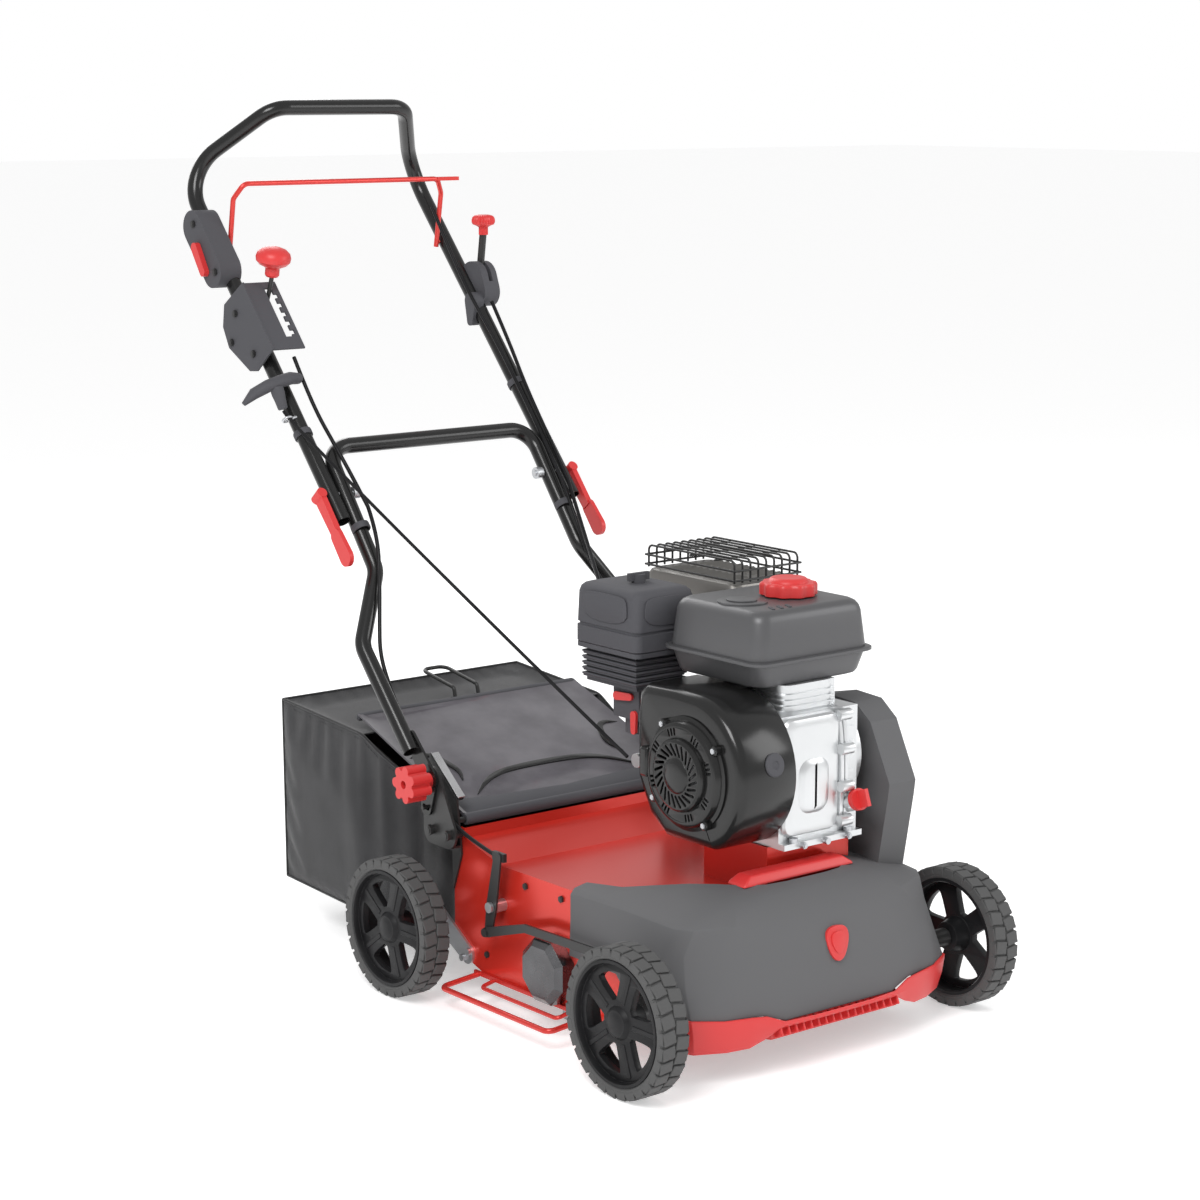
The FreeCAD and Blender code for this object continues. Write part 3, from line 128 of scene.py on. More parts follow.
class MaterialMaker:
    """Builds the node tree of one finish round a Principled shader."""

    def __init__(self, name: str, finish: Finish) -> None:
        """Starts an empty material with its shader and output.

        Args:
            name: the material's name.
            finish: its finish.
        """
        self.finish = finish
        self.material = bpy.data.materials.new(name)
        self.material.use_nodes = True
        self.nodes = self.material.node_tree.nodes
        self.links = self.material.node_tree.links
        self.shader = self.nodes["Principled BSDF"]
        self.place = self.nodes.new("ShaderNodeTexCoord").outputs["Object"]

    def link(self, source: bpy.types.NodeSocket, target: bpy.types.NodeSocket) -> None:
        """Joins two sockets."""
        self.links.new(source, target)

    def noise(self, size: float, detail: float = 3.0, stretch: Place | None = None) -> bpy.types.NodeSocket:
        """Noise whose features are about size millimetres.

        Args:
            size: feature size.
            detail: octaves of finer noise.
            stretch: scale of each axis, for a directional grain.

        Returns:
            The noise's factor.
        """
        node = self.nodes.new("ShaderNodeTexNoise")
        node.inputs["Scale"].default_value = 1.0 / (size * MM)
        node.inputs["Detail"].default_value = detail
        self.link(self.stretched(stretch) if stretch else self.place, node.inputs["Vector"])
        return node.outputs["Fac"]

    def stretched(self, scale: Place) -> bpy.types.NodeSocket:
        """Object coordinates scaled axis by axis.

        Args:
            scale: the scale along each axis.

        Returns:
            The scaled coordinates.
        """
        node = self.nodes.new("ShaderNodeMapping")
        node.inputs["Scale"].default_value = scale
        self.link(self.place, node.inputs["Vector"])
        return node.outputs["Vector"]

    def ranged(self, source: bpy.types.NodeSocket, low: float, high: float,
               into: tuple[float, float]) -> bpy.types.NodeSocket:
        """source mapped from low..high to into, clamped.

        Args:
            source: the value to map.
            low: its lower end.
            high: its upper end.
            into: the two values that the ends become.

        Returns:
            The mapped value.
        """
        node = self.nodes.new("ShaderNodeMapRange")
        self.link(source, node.inputs["Value"])
        for key, value in (("From Min", low), ("From Max", high), ("To Min", into[0]), ("To Max", into[1])):
            node.inputs[key].default_value = value
        return node.outputs["Result"]

    def mixed(self, factor: bpy.types.NodeSocket, first: Any, second: Any) -> bpy.types.NodeSocket:
        """Colour mixed by factor; first and second are sockets or plain colours.

        Args:
            factor: how much of the second shows.
            first: a socket or a plain colour.
            second: a socket or a plain colour.

        Returns:
            The mixed colour.
        """
        node = self.nodes.new("ShaderNodeMix")
        node.data_type = "RGBA"
        self.link(factor, node.inputs[0])
        for value, socket in ((first, node.inputs[6]), (second, node.inputs[7])):
            if isinstance(value, tuple):
                socket.default_value = (*value, 1.0)
            else:
                self.link(value, socket)
        return node.outputs[2]

    def maths(self, what: str, first: bpy.types.NodeSocket, second: Any) -> bpy.types.NodeSocket:
        """One arithmetic step on two values.

        Args:
            what: the operation.
            first: the first value.
            second: a socket or a number.

        Returns:
            The result.
        """
        node = self.nodes.new("ShaderNodeMath")
        node.operation = what
        self.link(first, node.inputs[0])
        if isinstance(second, float):
            node.inputs[1].default_value = second
        else:
            self.link(second, node.inputs[1])
        return node.outputs[0]

    def weave(self, size: float) -> bpy.types.NodeSocket:
        """Crossed threads: the higher of waves running along two diagonals.

        Args:
            size: the threads' spacing in millimetres.

        Returns:
            The height of the weave.
        """
        waves = []
        for direction in ("X", "Z"):
            node = self.nodes.new("ShaderNodeTexWave")
            node.bands_direction = direction
            node.inputs["Scale"].default_value = 0.31 / (size * MM)
            node.inputs["Distortion"].default_value = 0.6
            node.inputs["Detail Scale"].default_value = 2.0
            turned = self.nodes.new("ShaderNodeMapping")
            turned.inputs["Rotation"].default_value = (0.2, 0.9, 0.7)
            self.link(self.place, turned.inputs["Vector"])
            self.link(turned.outputs["Vector"], node.inputs["Vector"])
            waves.append(node.outputs["Fac"])
        return self.maths("MAXIMUM", waves[0], waves[1])

    def height(self) -> bpy.types.NodeSocket:
        """The grain's height.

        Returns:
            The height that the bump reads.
        """
        size = RELIEFS[self.finish.grain].size
        match self.finish.grain:
            case Grain.WOVEN | Grain.BRAIDED:
                return self.weave(size)
            case Grain.BRUSHED:
                return self.noise(size, 2.0, (0.06, 1.0, 1.0))
            case Grain.MOULDED | Grain.RUBBER:
                cells = self.nodes.new("ShaderNodeTexVoronoi")
                cells.inputs["Scale"].default_value = 1.0 / (size * MM)
                self.link(self.place, cells.inputs["Vector"])
                return cells.outputs["Distance"]
            case _:
                return self.noise(size, 4.0)

    def make(self) -> bpy.types.Material:
        """Links colour, roughness and normal, and returns the material.

        Returns:
            The finished material.
        """
        finish, relief = self.finish, RELIEFS[self.finish.grain]
        dark = tuple(0.82 * c for c in finish.colour)
        light = finish.second or tuple(min(1.0, 1.12 * c + 0.004) for c in finish.colour)
        blotch = self.ranged(self.noise(70.0, 5.0), 0.35, 0.68, (0.0, 1.0))
        colour = self.mixed(blotch, dark, light)
        rounding = self.nodes.new("ShaderNodeBevel")
        rounding.samples = 4
        rounding.inputs["Radius"].default_value = finish.bevel * MM
        if finish.edge:
            flat = self.nodes.new("ShaderNodeNewGeometry")
            dot = self.nodes.new("ShaderNodeVectorMath")
            dot.operation = "DOT_PRODUCT"
            self.link(flat.outputs["Normal"], dot.inputs[0])
            self.link(rounding.outputs["Normal"], dot.inputs[1])
            bend = self.ranged(dot.outputs["Value"], 0.97, 0.80, (0.0, 0.8))
            patchy = self.ranged(self.noise(9.0, 4.0), 0.45, 0.62, (0.0, 1.0))
            colour = self.mixed(self.maths("MULTIPLY", bend, patchy), colour, finish.edge)
        self.link(colour, self.shader.inputs["Base Color"])
        rough = self.ranged(self.noise(28.0, 5.0), 0.3, 0.7,
                            (max(0.03, finish.roughness - relief.spread), finish.roughness + relief.spread))
        self.link(rough, self.shader.inputs["Roughness"])
        self.shader.inputs["Metallic"].default_value = finish.metallic
        self.shader.inputs["Coat Weight"].default_value = finish.coat
        self.shader.inputs["Coat Roughness"].default_value = 0.08
        self.shader.inputs["Specular IOR Level"].default_value = finish.specular
        if finish.grain is Grain.WOVEN:
            self.shader.inputs["Sheen Weight"].default_value = 0.25
            self.shader.inputs["Sheen Roughness"].default_value = 0.5
        bump = self.nodes.new("ShaderNodeBump")
        bump.inputs["Distance"].default_value = relief.depth * MM
        bump.inputs["Strength"].default_value = 1.0
        self.link(self.height(), bump.inputs["Height"])
        self.link(rounding.outputs["Normal"], bump.inputs["Normal"])
        self.link(bump.outputs["Normal"], self.shader.inputs["Normal"])
        return self.material


class Palette(Enum):
    """The finishes of this machine."""

    DECK_RED = Finish("deck_red", (0.70, 0.018, 0.008), 0.22, Grain.PAINT, 0.25, 0.8, (0.30, 0.05, 0.04),
                      (0.84, 0.035, 0.014))
    RED_PLASTIC = Finish("red_plastic", (0.72, 0.030, 0.024), 0.40, Grain.MOULDED)
    RED_WIRE = Finish("red_wire", (0.74, 0.025, 0.018), 0.25, Grain.PAINT, 0.0, 0.5)
    BLACK_PLASTIC = Finish("black_plastic", (0.009, 0.009, 0.010), 0.42, Grain.MOULDED,
                           edge=(0.06, 0.06, 0.06))
    GREY_PLASTIC = Finish("grey_plastic", (0.013, 0.013, 0.014), 0.42, Grain.MOULDED, edge=(0.07, 0.07, 0.07))
    GLOSS_BLACK = Finish("gloss_black", (0.006, 0.006, 0.007), 0.13, Grain.PAINT, 0.0, 0.6,
                         (0.04, 0.04, 0.04))
    SATIN_BLACK = Finish("satin_black", (0.014, 0.014, 0.015), 0.34, Grain.PAINT, 0.0, 0.2,
                         (0.14, 0.14, 0.14))
    TANK_GREY = Finish("tank_grey", (0.022, 0.022, 0.024), 0.34, Grain.MOULDED, 0.0, 0.15, (0.10, 0.10, 0.10))
    CASTING = Finish("casting", (0.72, 0.73, 0.74), 0.40, Grain.CAST, 0.85, second=(0.90, 0.90, 0.91))
    ZINC = Finish("zinc", (0.52, 0.53, 0.55), 0.30, Grain.BRUSHED, 1.0, edge=(0.7, 0.7, 0.7))
    # Painted highlight: a bright steel tone standing in for the light that catches the satin black brackets'
    # top edges.
    BRIGHT_EDGE = Finish("satin_black", (0.62, 0.62, 0.63), 0.28, Grain.BRUSHED, 1.0)
    DARK_STEEL = Finish("black_plastic", (0.10, 0.10, 0.105), 0.22, Grain.BRUSHED, 0.9, 0.3, (0.2, 0.2, 0.2))
    TOOL_STEEL = Finish("tool_steel", (0.30, 0.30, 0.31), 0.34, Grain.BRUSHED, 1.0, edge=(0.6, 0.6, 0.6))
    MUFFLER_STEEL = Finish("muffler_steel", (0.05, 0.048, 0.046), 0.36, Grain.TINTED, 0.7,
                           second=(0.10, 0.09, 0.08))
    BELT_RUBBER = Finish("belt_rubber", (0.02, 0.02, 0.02), 0.7, Grain.RUBBER)
    SHEATH = Finish("cable_sheath", (0.008, 0.008, 0.009), 0.34, Grain.PAINT, bevel=0.2)
    ROPE = Finish("rope_cord", (0.010, 0.010, 0.011), 0.75, Grain.BRAIDED, bevel=0.2)
    TYRE = Finish("tyre", (0.019, 0.019, 0.018), 0.55, Grain.RUBBER, edge=(0.07, 0.07, 0.07))
    RIM = Finish("tyre", (0.011, 0.011, 0.012), 0.38, Grain.MOULDED, edge=(0.06, 0.06, 0.06))
    SMOKE = Finish("flap_smoke", (0.105, 0.098, 0.112), 0.18, Grain.PAINT, 0.0, 0.8,
                   second=(0.135, 0.128, 0.142))
    FABRIC = Finish("bag_fabric", (0.022, 0.022, 0.024), 0.85, Grain.WOVEN, second=(0.030, 0.030, 0.032),
                    bevel=0.4)
    PIPING = Finish("bag_fabric", (0.014, 0.014, 0.015), 0.6, Grain.WOVEN, bevel=0.3)


CAD_FINISHES: dict[Palette, str] = {
    Palette.DECK_RED: "deck_shell engine_platform",
    Palette.RED_PLASTIC: "bumper_trim carry_handle dipstick tank_cap choke_lever fuel_tap left_clamp_lever "
                         "right_clamp_lever switch_rocker depth_lever throttle_lever left_star_knob "
                         "right_star_knob front_reflector",
    Palette.RED_WIRE: "side_guards bail",
    Palette.DARK_STEEL: "bearing_cap",
    Palette.BLACK_PLASTIC: "air_filter_cover filter_nut carburettor switch_box depth_gate "
                           "throttle_housing starter_grip",
    Palette.GREY_PLASTIC: "front_cowl belt_cover",
    Palette.GLOSS_BLACK: "blower_housing recoil_cover lower_handle upper_handle",
    Palette.SATIN_BLACK: "handle_brackets front_axle bell_crank depth_link muffler_cage bag_frame bag_handle",
    Palette.TANK_GREY: "fuel_tank",
    Palette.CASTING: "crankcase cylinder_head",
    Palette.ZINC: "rear_axle_plates deck_hardware tension_arm handle_hardware",
    Palette.TOOL_STEEL: "reel_shaft reel_blades crankshaft drive_pulley",
    Palette.MUFFLER_STEEL: "muffler",
    Palette.BELT_RUBBER: "drive_belt",
    Palette.SHEATH: "control_cables",
    Palette.ROPE: "starter_rope",
    Palette.TYRE: "front_left_wheel front_right_wheel rear_left_wheel rear_right_wheel",
    Palette.SMOKE: "flap",
    Palette.FABRIC: "bag",
}


# ---- meshes -------------------------------------------------------------------------------------
def piece_of(name: str, corners: Iterable[Place], faces: Iterable[Sequence[int]], crease: float = 32.0,
             tidy: bool = True) -> bpy.types.Object:
    """A mesh object from corners in millimetres.

    Args:
        name: the piece's name.
        corners: places in millimetres.
        faces: loops of corner numbers.
        crease: edges sharper than this many degrees stay sharp.
        tidy: merge doubles and turn all faces outwards.

    Returns:
        The object, at the origin.
    """
    mesh = bpy.data.meshes.new(name)
    mesh.from_pydata([[c * MM for c in corner] for corner in corners], [], [list(f) for f in faces])
    if tidy:
        work = bmesh.new()
        work.from_mesh(mesh)
        bmesh.ops.remove_doubles(work, verts=work.verts, dist=1e-6)
        bmesh.ops.recalc_face_normals(work, faces=work.faces)
        work.to_mesh(mesh)
        work.free()
    made = bpy.data.objects.new(name, mesh)
    bpy.context.scene.collection.objects.link(made)
    creased(made, crease)
    return made


def creased(made: bpy.types.Object, degrees: float) -> None:
    """Smooth shading, with edges sharper than degrees kept sharp."""
    made.data.shade_smooth()
    made.data.set_sharp_from_angle(angle=math.radians(degrees))


def settled(made: bpy.types.Object, crease: float = 32.0) -> bpy.types.Object:
    """Turns an object's modifiers, or a curve, into its plain mesh.

    Args:
        made: the object, or a curve.
        crease: the angle in degrees past which an edge is sharp.

    Returns:
        The plain mesh object.
    """
    graph = bpy.context.evaluated_depsgraph_get()
    mesh = bpy.data.meshes.new_from_object(made.evaluated_get(graph))
    if made.type == "MESH":
        made.modifiers.clear()
        made.data = mesh
    else:
        name = made.name
        bpy.data.objects.remove(made)
        made = bpy.data.objects.new(name, mesh)
        bpy.context.scene.collection.objects.link(made)
    creased(made, crease)
    return made


def softened(made: bpy.types.Object, width: float, steps: int = 2) -> bpy.types.Object:
    """Rounds a piece's sharp edges by width millimetres.

    Args:
        made: the piece.
        width: the rounding in millimetres.
        steps: how many cuts the rounding has.

    Returns:
        The piece as a plain mesh.
    """
    bevel = made.modifiers.new("edge", "BEVEL")
    bevel.width, bevel.segments = width * MM, steps
    bevel.limit_method, bevel.angle_limit = "ANGLE", math.radians(32)
    bevel.harden_normals = False
    return settled(made)


def joined(name: str, parts: Sequence[bpy.types.Object]) -> bpy.types.Object:
    """One object from several, with their meshes side by side.

    Args:
        name: the new object's name.
        parts: the objects, which are used up.

    Returns:
        The one object.
    """
    work = bmesh.new()
    for part in parts:
        work.from_mesh(part.data)
    mesh = bpy.data.meshes.new(name)
    work.to_mesh(mesh)
    work.free()
    for part in parts:
        bpy.data.objects.remove(part)
    made = bpy.data.objects.new(name, mesh)
    bpy.context.scene.collection.objects.link(made)
    creased(made, 32.0)
    return made


def loft(name: str, rings: Sequence[Ring], capped: bool = True, crease: float = 32.0) -> bpy.types.Object:
    """A skin through closed rings with the same number of corners.

    Args:
        name: the skin's name.
        rings: the rings, from one end to the other.
        capped: whether both ends are closed.
        crease: the angle in degrees past which an edge is sharp.

    Returns:
        The skin.
    """
    count = len(rings[0])
    corners = [place for ring in rings for place in ring]
    faces = [(r * count + k, r * count + (k + 1) % count, (r + 1) * count + (k + 1) % count,
              (r + 1) * count + k)
             for r in range(len(rings) - 1) for k in range(count)]
    if capped:
        faces += [tuple(range(count)), tuple(range((len(rings) - 1) * count, len(rings) * count))]
    return piece_of(name, corners, faces, crease)


def rounded_ring(x: Flat, y: Flat, z: float, radius: float, steps: int = 5) -> Ring:
    """A rectangle with round corners at height z.

    Args:
        x: lowest and highest X, as one pair in a list.
        y: lowest and highest Y, as one pair in a list.
        z: height.
        radius: corner radius.
        steps: points on each corner.

    Returns:
        The ring, anticlockwise from above.
    """
    (x0, x1), (y0, y1) = x[0], y[0]
    ring = []
    for cx, cy, start in ((x1 - radius, y1 - radius, 0), (x0 + radius, y1 - radius, 90),
                          (x0 + radius, y0 + radius, 180), (x1 - radius, y0 + radius, 270)):
        for k in range(steps + 1):
            a = math.radians(start + 90 * k / steps)
            ring.append((cx + radius * math.cos(a), cy + radius * math.sin(a), z))
    return ring


@dataclass
class Axis:
    """A centre line for turned shapes: a middle in millimetres and a direction."""

    middle: Place
    way: Place = (1.0, 0.0, 0.0)

    def frame(self) -> Matrix:
        """Matrix that takes local Z to the axis's direction and the origin to its middle."""
        turn = Vector(self.way).to_track_quat("Z", "Y").to_matrix().to_4x4()
        return Matrix.Translation(Vector(self.middle)) @ turn

    def place(self, radius: float, angle: float, offset: float) -> tuple[float, float, float]:
        """A place round the axis at a radius, an angle in degrees and an offset along it."""
        a = math.radians(angle)
        return tuple(self.frame() @ Vector((radius * math.cos(a), radius * math.sin(a), offset)))


def lathe(name: str, axis: Axis, profile: Flat, steps: int = 64, closed: bool = False,
          crease: float = 32.0) -> bpy.types.Object:
    """A profile of (radius, offset) spun round an axis.

    Args:
        name: the piece's name.
        axis: the line it turns about.
        profile: radius and offset pairs; closed ones make a ring.
        steps: points round the axis.
        closed: the profile's last point joins its first.
        crease: edges sharper than this many degrees stay sharp.

    Returns:
        The turned piece.
    """
    way = axis.frame()
    corners, rows = [], len(profile)
    for radius, offset in profile:
        for k in range(steps):
            a = 2 * math.pi * k / steps
            corners.append(tuple(way @ Vector((radius * math.cos(a), radius * math.sin(a), offset))))
    spans = [(r, (r + 1) % rows) for r in range(rows if closed else rows - 1)]
    faces = [(r * steps + k, r * steps + (k + 1) % steps, s * steps + (k + 1) % steps, s * steps + k)
             for r, s in spans for k in range(steps)]
    return piece_of(name, corners, faces, crease)


def plate(name: str, loops: Sequence[Flat], low: float, high: float, frame_of: Matrix,
          edge: float = 0.0) -> bpy.types.Object:
    """A flat plate: the first loop is its outline and the others are holes.

    Args:
        name: the piece's name.
        loops: closed outlines of (u, v) in millimetres.
        low: lower face's height along the frame's Z.
        high: upper face's height.
        frame_of: matrix from (u, v, w) to the machine's millimetres.
        edge: rounding of its rims.

    Returns:
        The plate.
    """
    flat = [point for loop in loops for point in loop]
    triangles = tessellate_polygon([[Vector((u, v, 0)) for u, v in loop] for loop in loops])
    count = len(flat)
    corners = [tuple(frame_of @ Vector((u, v, w))) for w in (low, high) for u, v in flat]
    faces: list[Sequence[int]] = [tuple(t) for t in triangles]
    faces += [tuple(i + count for i in t) for t in triangles]
    start = 0
    for loop in loops:
        size = len(loop)
        faces += [(start + k, start + (k + 1) % size, start + (k + 1) % size + count, start + k + count)
                  for k in range(size)]
        start += size
    made = piece_of(name, corners, faces)
    return softened(made, edge) if edge else made


def smoothed(loop: Flat, rounds: int = 2) -> Flat:
    """An outline with its corners cut off again and again.

    Args:
        loop: the outline.
        rounds: how many times its corners are cut.

    Returns:
        The softer outline.
    """
    for _ in range(rounds):
        cut = []
        for (a, b), (c, d) in zip(loop, loop[1:] + loop[:1]):
            cut += [(0.75 * a + 0.25 * c, 0.75 * b + 0.25 * d), (0.25 * a + 0.75 * c, 0.25 * b + 0.75 * d)]
        loop = cut
    return loop


def circle(radius: float, steps: int = 64, middle: tuple[float, float] = (0.0, 0.0)) -> Flat:
    """A circle as an outline."""
    return [(middle[0] + radius * math.cos(2 * math.pi * k / steps),
             middle[1] + radius * math.sin(2 * math.pi * k / steps)) for k in range(steps)]


def cord_mesh(name: str, route: Sequence[Place], radius: float) -> bpy.types.Object:
    """A round cord along a smooth line with the route's points as its control points.

    Args:
        name: the cord's name.
        route: its points, in millimetres.
        radius: its radius, in millimetres.

    Returns:
        The cord.
    """
    curve = bpy.data.curves.new(name, "CURVE")
    curve.dimensions = "3D"
    curve.resolution_u = 8
    curve.bevel_depth, curve.bevel_resolution = radius * MM, 4
    curve.use_fill_caps = True
    spline = curve.splines.new("NURBS")
    spline.points.add(len(route) - 1)
    for target, place in zip(spline.points, route):
        target.co = (*[c * MM for c in place], 1.0)
    spline.order_u, spline.use_endpoint_u = 3, True
    made = bpy.data.objects.new(name, curve)
    bpy.context.scene.collection.objects.link(made)
    return settled(made, 50.0)


# ---- repeated things ----------------------------------------------------------------------------
class RepeatTree:
    """A Geometry Nodes tree that sets one small solid on every point it is given."""

    def __init__(self, name: str, sizes: Sequence[tuple[str, str]]) -> None:
        """Starts a tree with its named inputs.

        Args:
            name: the tree's name.
            sizes: name and socket kind of each size.
        """
        self.tree = bpy.data.node_groups.new(name, "GeometryNodeTree")
        face = self.tree.interface
        face.new_socket("Points", in_out="INPUT", socket_type="NodeSocketGeometry")
        for label, kind in sizes:
            face.new_socket(label, in_out="INPUT", socket_type=kind)
        face.new_socket("Finish", in_out="INPUT", socket_type="NodeSocketMaterial")
        face.new_socket("Solids", in_out="OUTPUT", socket_type="NodeSocketGeometry")
        self.start = self.add("NodeGroupInput")
        self.end = self.add("NodeGroupOutput")

    def add(self, kind: str, **settings: Any) -> bpy.types.Node:
        """A node with its settings.

        Args:
            kind: the node's type.

        Returns:
            The new node.
        """
        node = self.tree.nodes.new(kind)
        for key, value in settings.items():
            setattr(node, key, value)
        return node

    def link(self, source: bpy.types.NodeSocket, target: bpy.types.NodeSocket) -> None:
        """Joins two sockets."""
        self.tree.links.new(source, target)

    def direction(self, label: str) -> bpy.types.NodeSocket:
        """A direction stored on the points under that label.

        Args:
            label: the attribute's name.

        Returns:
            The direction.
        """
        node = self.add("GeometryNodeInputNamedAttribute", data_type="FLOAT_VECTOR")
        node.inputs["Name"].default_value = label
        return node.outputs["Attribute"]

    def finish(self, solid: bpy.types.NodeSocket) -> None:
        """Sets solid on each point, standing on "outward" and turned to "along", and ends the tree.

        Args:
            solid: the shape that is set on each point.
        """
        stand = self.add("FunctionNodeAlignRotationToVector", axis="Z")
        turn = self.add("FunctionNodeAlignRotationToVector", axis="X", pivot_axis="Z")
        self.link(self.direction("outward"), stand.inputs["Vector"])
        self.link(stand.outputs["Rotation"], turn.inputs["Rotation"])
        self.link(self.direction("along"), turn.inputs["Vector"])
        copies = self.add("GeometryNodeInstanceOnPoints")
        self.link(self.start.outputs["Points"], copies.inputs["Points"])
        self.link(solid, copies.inputs["Instance"])
        self.link(turn.outputs["Rotation"], copies.inputs["Rotation"])
        whole = self.add("GeometryNodeRealizeInstances")
        dressed = self.add("GeometryNodeSetMaterial")
        self.link(copies.outputs["Instances"], whole.inputs["Geometry"])
        self.link(whole.outputs["Geometry"], dressed.inputs["Geometry"])
        self.link(self.start.outputs["Finish"], dressed.inputs["Material"])
        self.link(dressed.outputs["Geometry"], self.end.inputs["Solids"])


def stud_tree() -> bpy.types.NodeTree:
    """A tree of round or hexagonal heads with a smaller raised middle.

    Returns:
        The tree.
    """
    made = RepeatTree("studs", [("Radius", "NodeSocketFloat"), ("Height", "NodeSocketFloat"),
                                ("Sides", "NodeSocketInt")])
    head = made.add("GeometryNodeMeshCylinder")
    crown = made.add("GeometryNodeMeshCylinder")
    narrow = made.add("ShaderNodeMath", operation="MULTIPLY")
    narrow.inputs[1].default_value = 0.62
    taller = made.add("ShaderNodeMath", operation="MULTIPLY")
    taller.inputs[1].default_value = 1.35
    made.link(made.start.outputs["Radius"], narrow.inputs[0])
    made.link(made.start.outputs["Height"], taller.inputs[0])
    for node, radius, height in ((head, made.start.outputs["Radius"], made.start.outputs["Height"]),
                                 (crown, narrow.outputs[0], taller.outputs[0])):
        made.link(radius, node.inputs["Radius"])
        made.link(height, node.inputs["Depth"])
    made.link(made.start.outputs["Sides"], head.inputs["Vertices"])
    crown.inputs["Vertices"].default_value = 12
    both = made.add("GeometryNodeJoinGeometry")
    made.link(head.outputs["Mesh"], both.inputs["Geometry"])
    made.link(crown.outputs["Mesh"], both.inputs["Geometry"])
    made.finish(both.outputs["Geometry"])
    return made.tree


def slat_tree() -> bpy.types.NodeTree:
    """A tree of blocks: slats, ribs, tread blocks and stitches.

    Returns:
        The tree.
    """
    made = RepeatTree("slats", [("Size", "NodeSocketVector")])
    block = made.add("GeometryNodeMeshCube")
    made.link(made.start.outputs["Size"], block.inputs["Size"])
    made.finish(block.outputs["Mesh"])
    return made.tree


@dataclass
class Spot:
    """Where one repeated solid stands: its middle, its outward direction and its length's direction."""

    middle: Place
    outward: Place
    along: Place = (1.0, 0.0, 0.0)


def repeated(name: str, tree: bpy.types.NodeTree, spots: Sequence[Spot], finish: Palette,
             sizes: dict[str, Any], round_by: float = 0.0) -> bpy.types.Object:
    """Runs a tree over spots and keeps the result as a plain mesh.

    Args:
        name: the piece's name.
        tree: the tree that makes the solids.
        spots: where they stand.
        finish: what they are made of.
        sizes: value of each named input, lengths in metres.
        round_by: rounding of their edges in millimetres.

    Returns:
        One object with every solid in it.
    """
    mesh = bpy.data.meshes.new(name)
    mesh.from_pydata([[c * MM for c in spot.middle] for spot in spots], [], [])
    for label in ("outward", "along"):
        stored = mesh.attributes.new(label, "FLOAT_VECTOR", "POINT")
        for entry, spot in zip(stored.data, spots):
            entry.vector = getattr(spot, label)
    made = bpy.data.objects.new(name, mesh)
    bpy.context.scene.collection.objects.link(made)
    repeat = made.modifiers.new("repeat", "NODES")
    repeat.node_group = tree
    keys = {item.name: item.identifier for item in tree.interface.items_tree if item.item_type == "SOCKET"}
    for label, value in sizes.items():
        repeat[keys[label]] = value
    repeat[keys["Finish"]] = finish.value.material(finish.name.lower())
    made = settled(made)
    return softened(made, round_by, 1) if round_by else made


class Assembly:
    """A group of pieces: makes them, dresses them and sets them on their bodies."""

    studs: bpy.types.NodeTree
    slats: bpy.types.NodeTree

    @classmethod
    def make_trees(cls) -> None:
        """Builds the two shared repeat trees."""
        cls.studs, cls.slats = stud_tree(), slat_tree()

    def add(self, made: bpy.types.Object, body: str, finish: Palette, *replaced: str) -> bpy.types.Object:
        """Dresses a piece and sets it on its body.

        Args:
            made: the finished piece.
            body: the body that it moves with.
            finish: its finish.
            replaced: the plain solids that it stands for.

        Returns:
            The same piece.
        """
        made.data.materials.clear()
        made.data.materials.append(finish.value.material(finish.name.lower()))
        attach(made, body)
        if replaced:
            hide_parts(*replaced)
        LOG.info("%s on %s: %d faces", made.name, body, len(made.data.polygons))
        return made

    def add_studs(self, name: str, body: str, finish: Palette, spots: Sequence[Spot], radius: float,
                  height: float, sides: int = 6) -> None:
        """Adds bolt heads or bosses on spots."""
        sizes = {"Radius": radius * MM, "Height": height * MM, "Sides": sides}
        self.add(repeated(name, self.studs, spots, finish, sizes, 0.0), body, finish)

    def add_slats(self, name: str, body: str, finish: Palette, spots: Sequence[Spot], size: Place,
                  round_by: float = 0.0) -> None:
        """Adds blocks on spots; size is along, across and outward."""
        sizes = {"Size": [s * MM for s in size]}
        self.add(repeated(name, self.slats, spots, finish, sizes, round_by), body, finish)


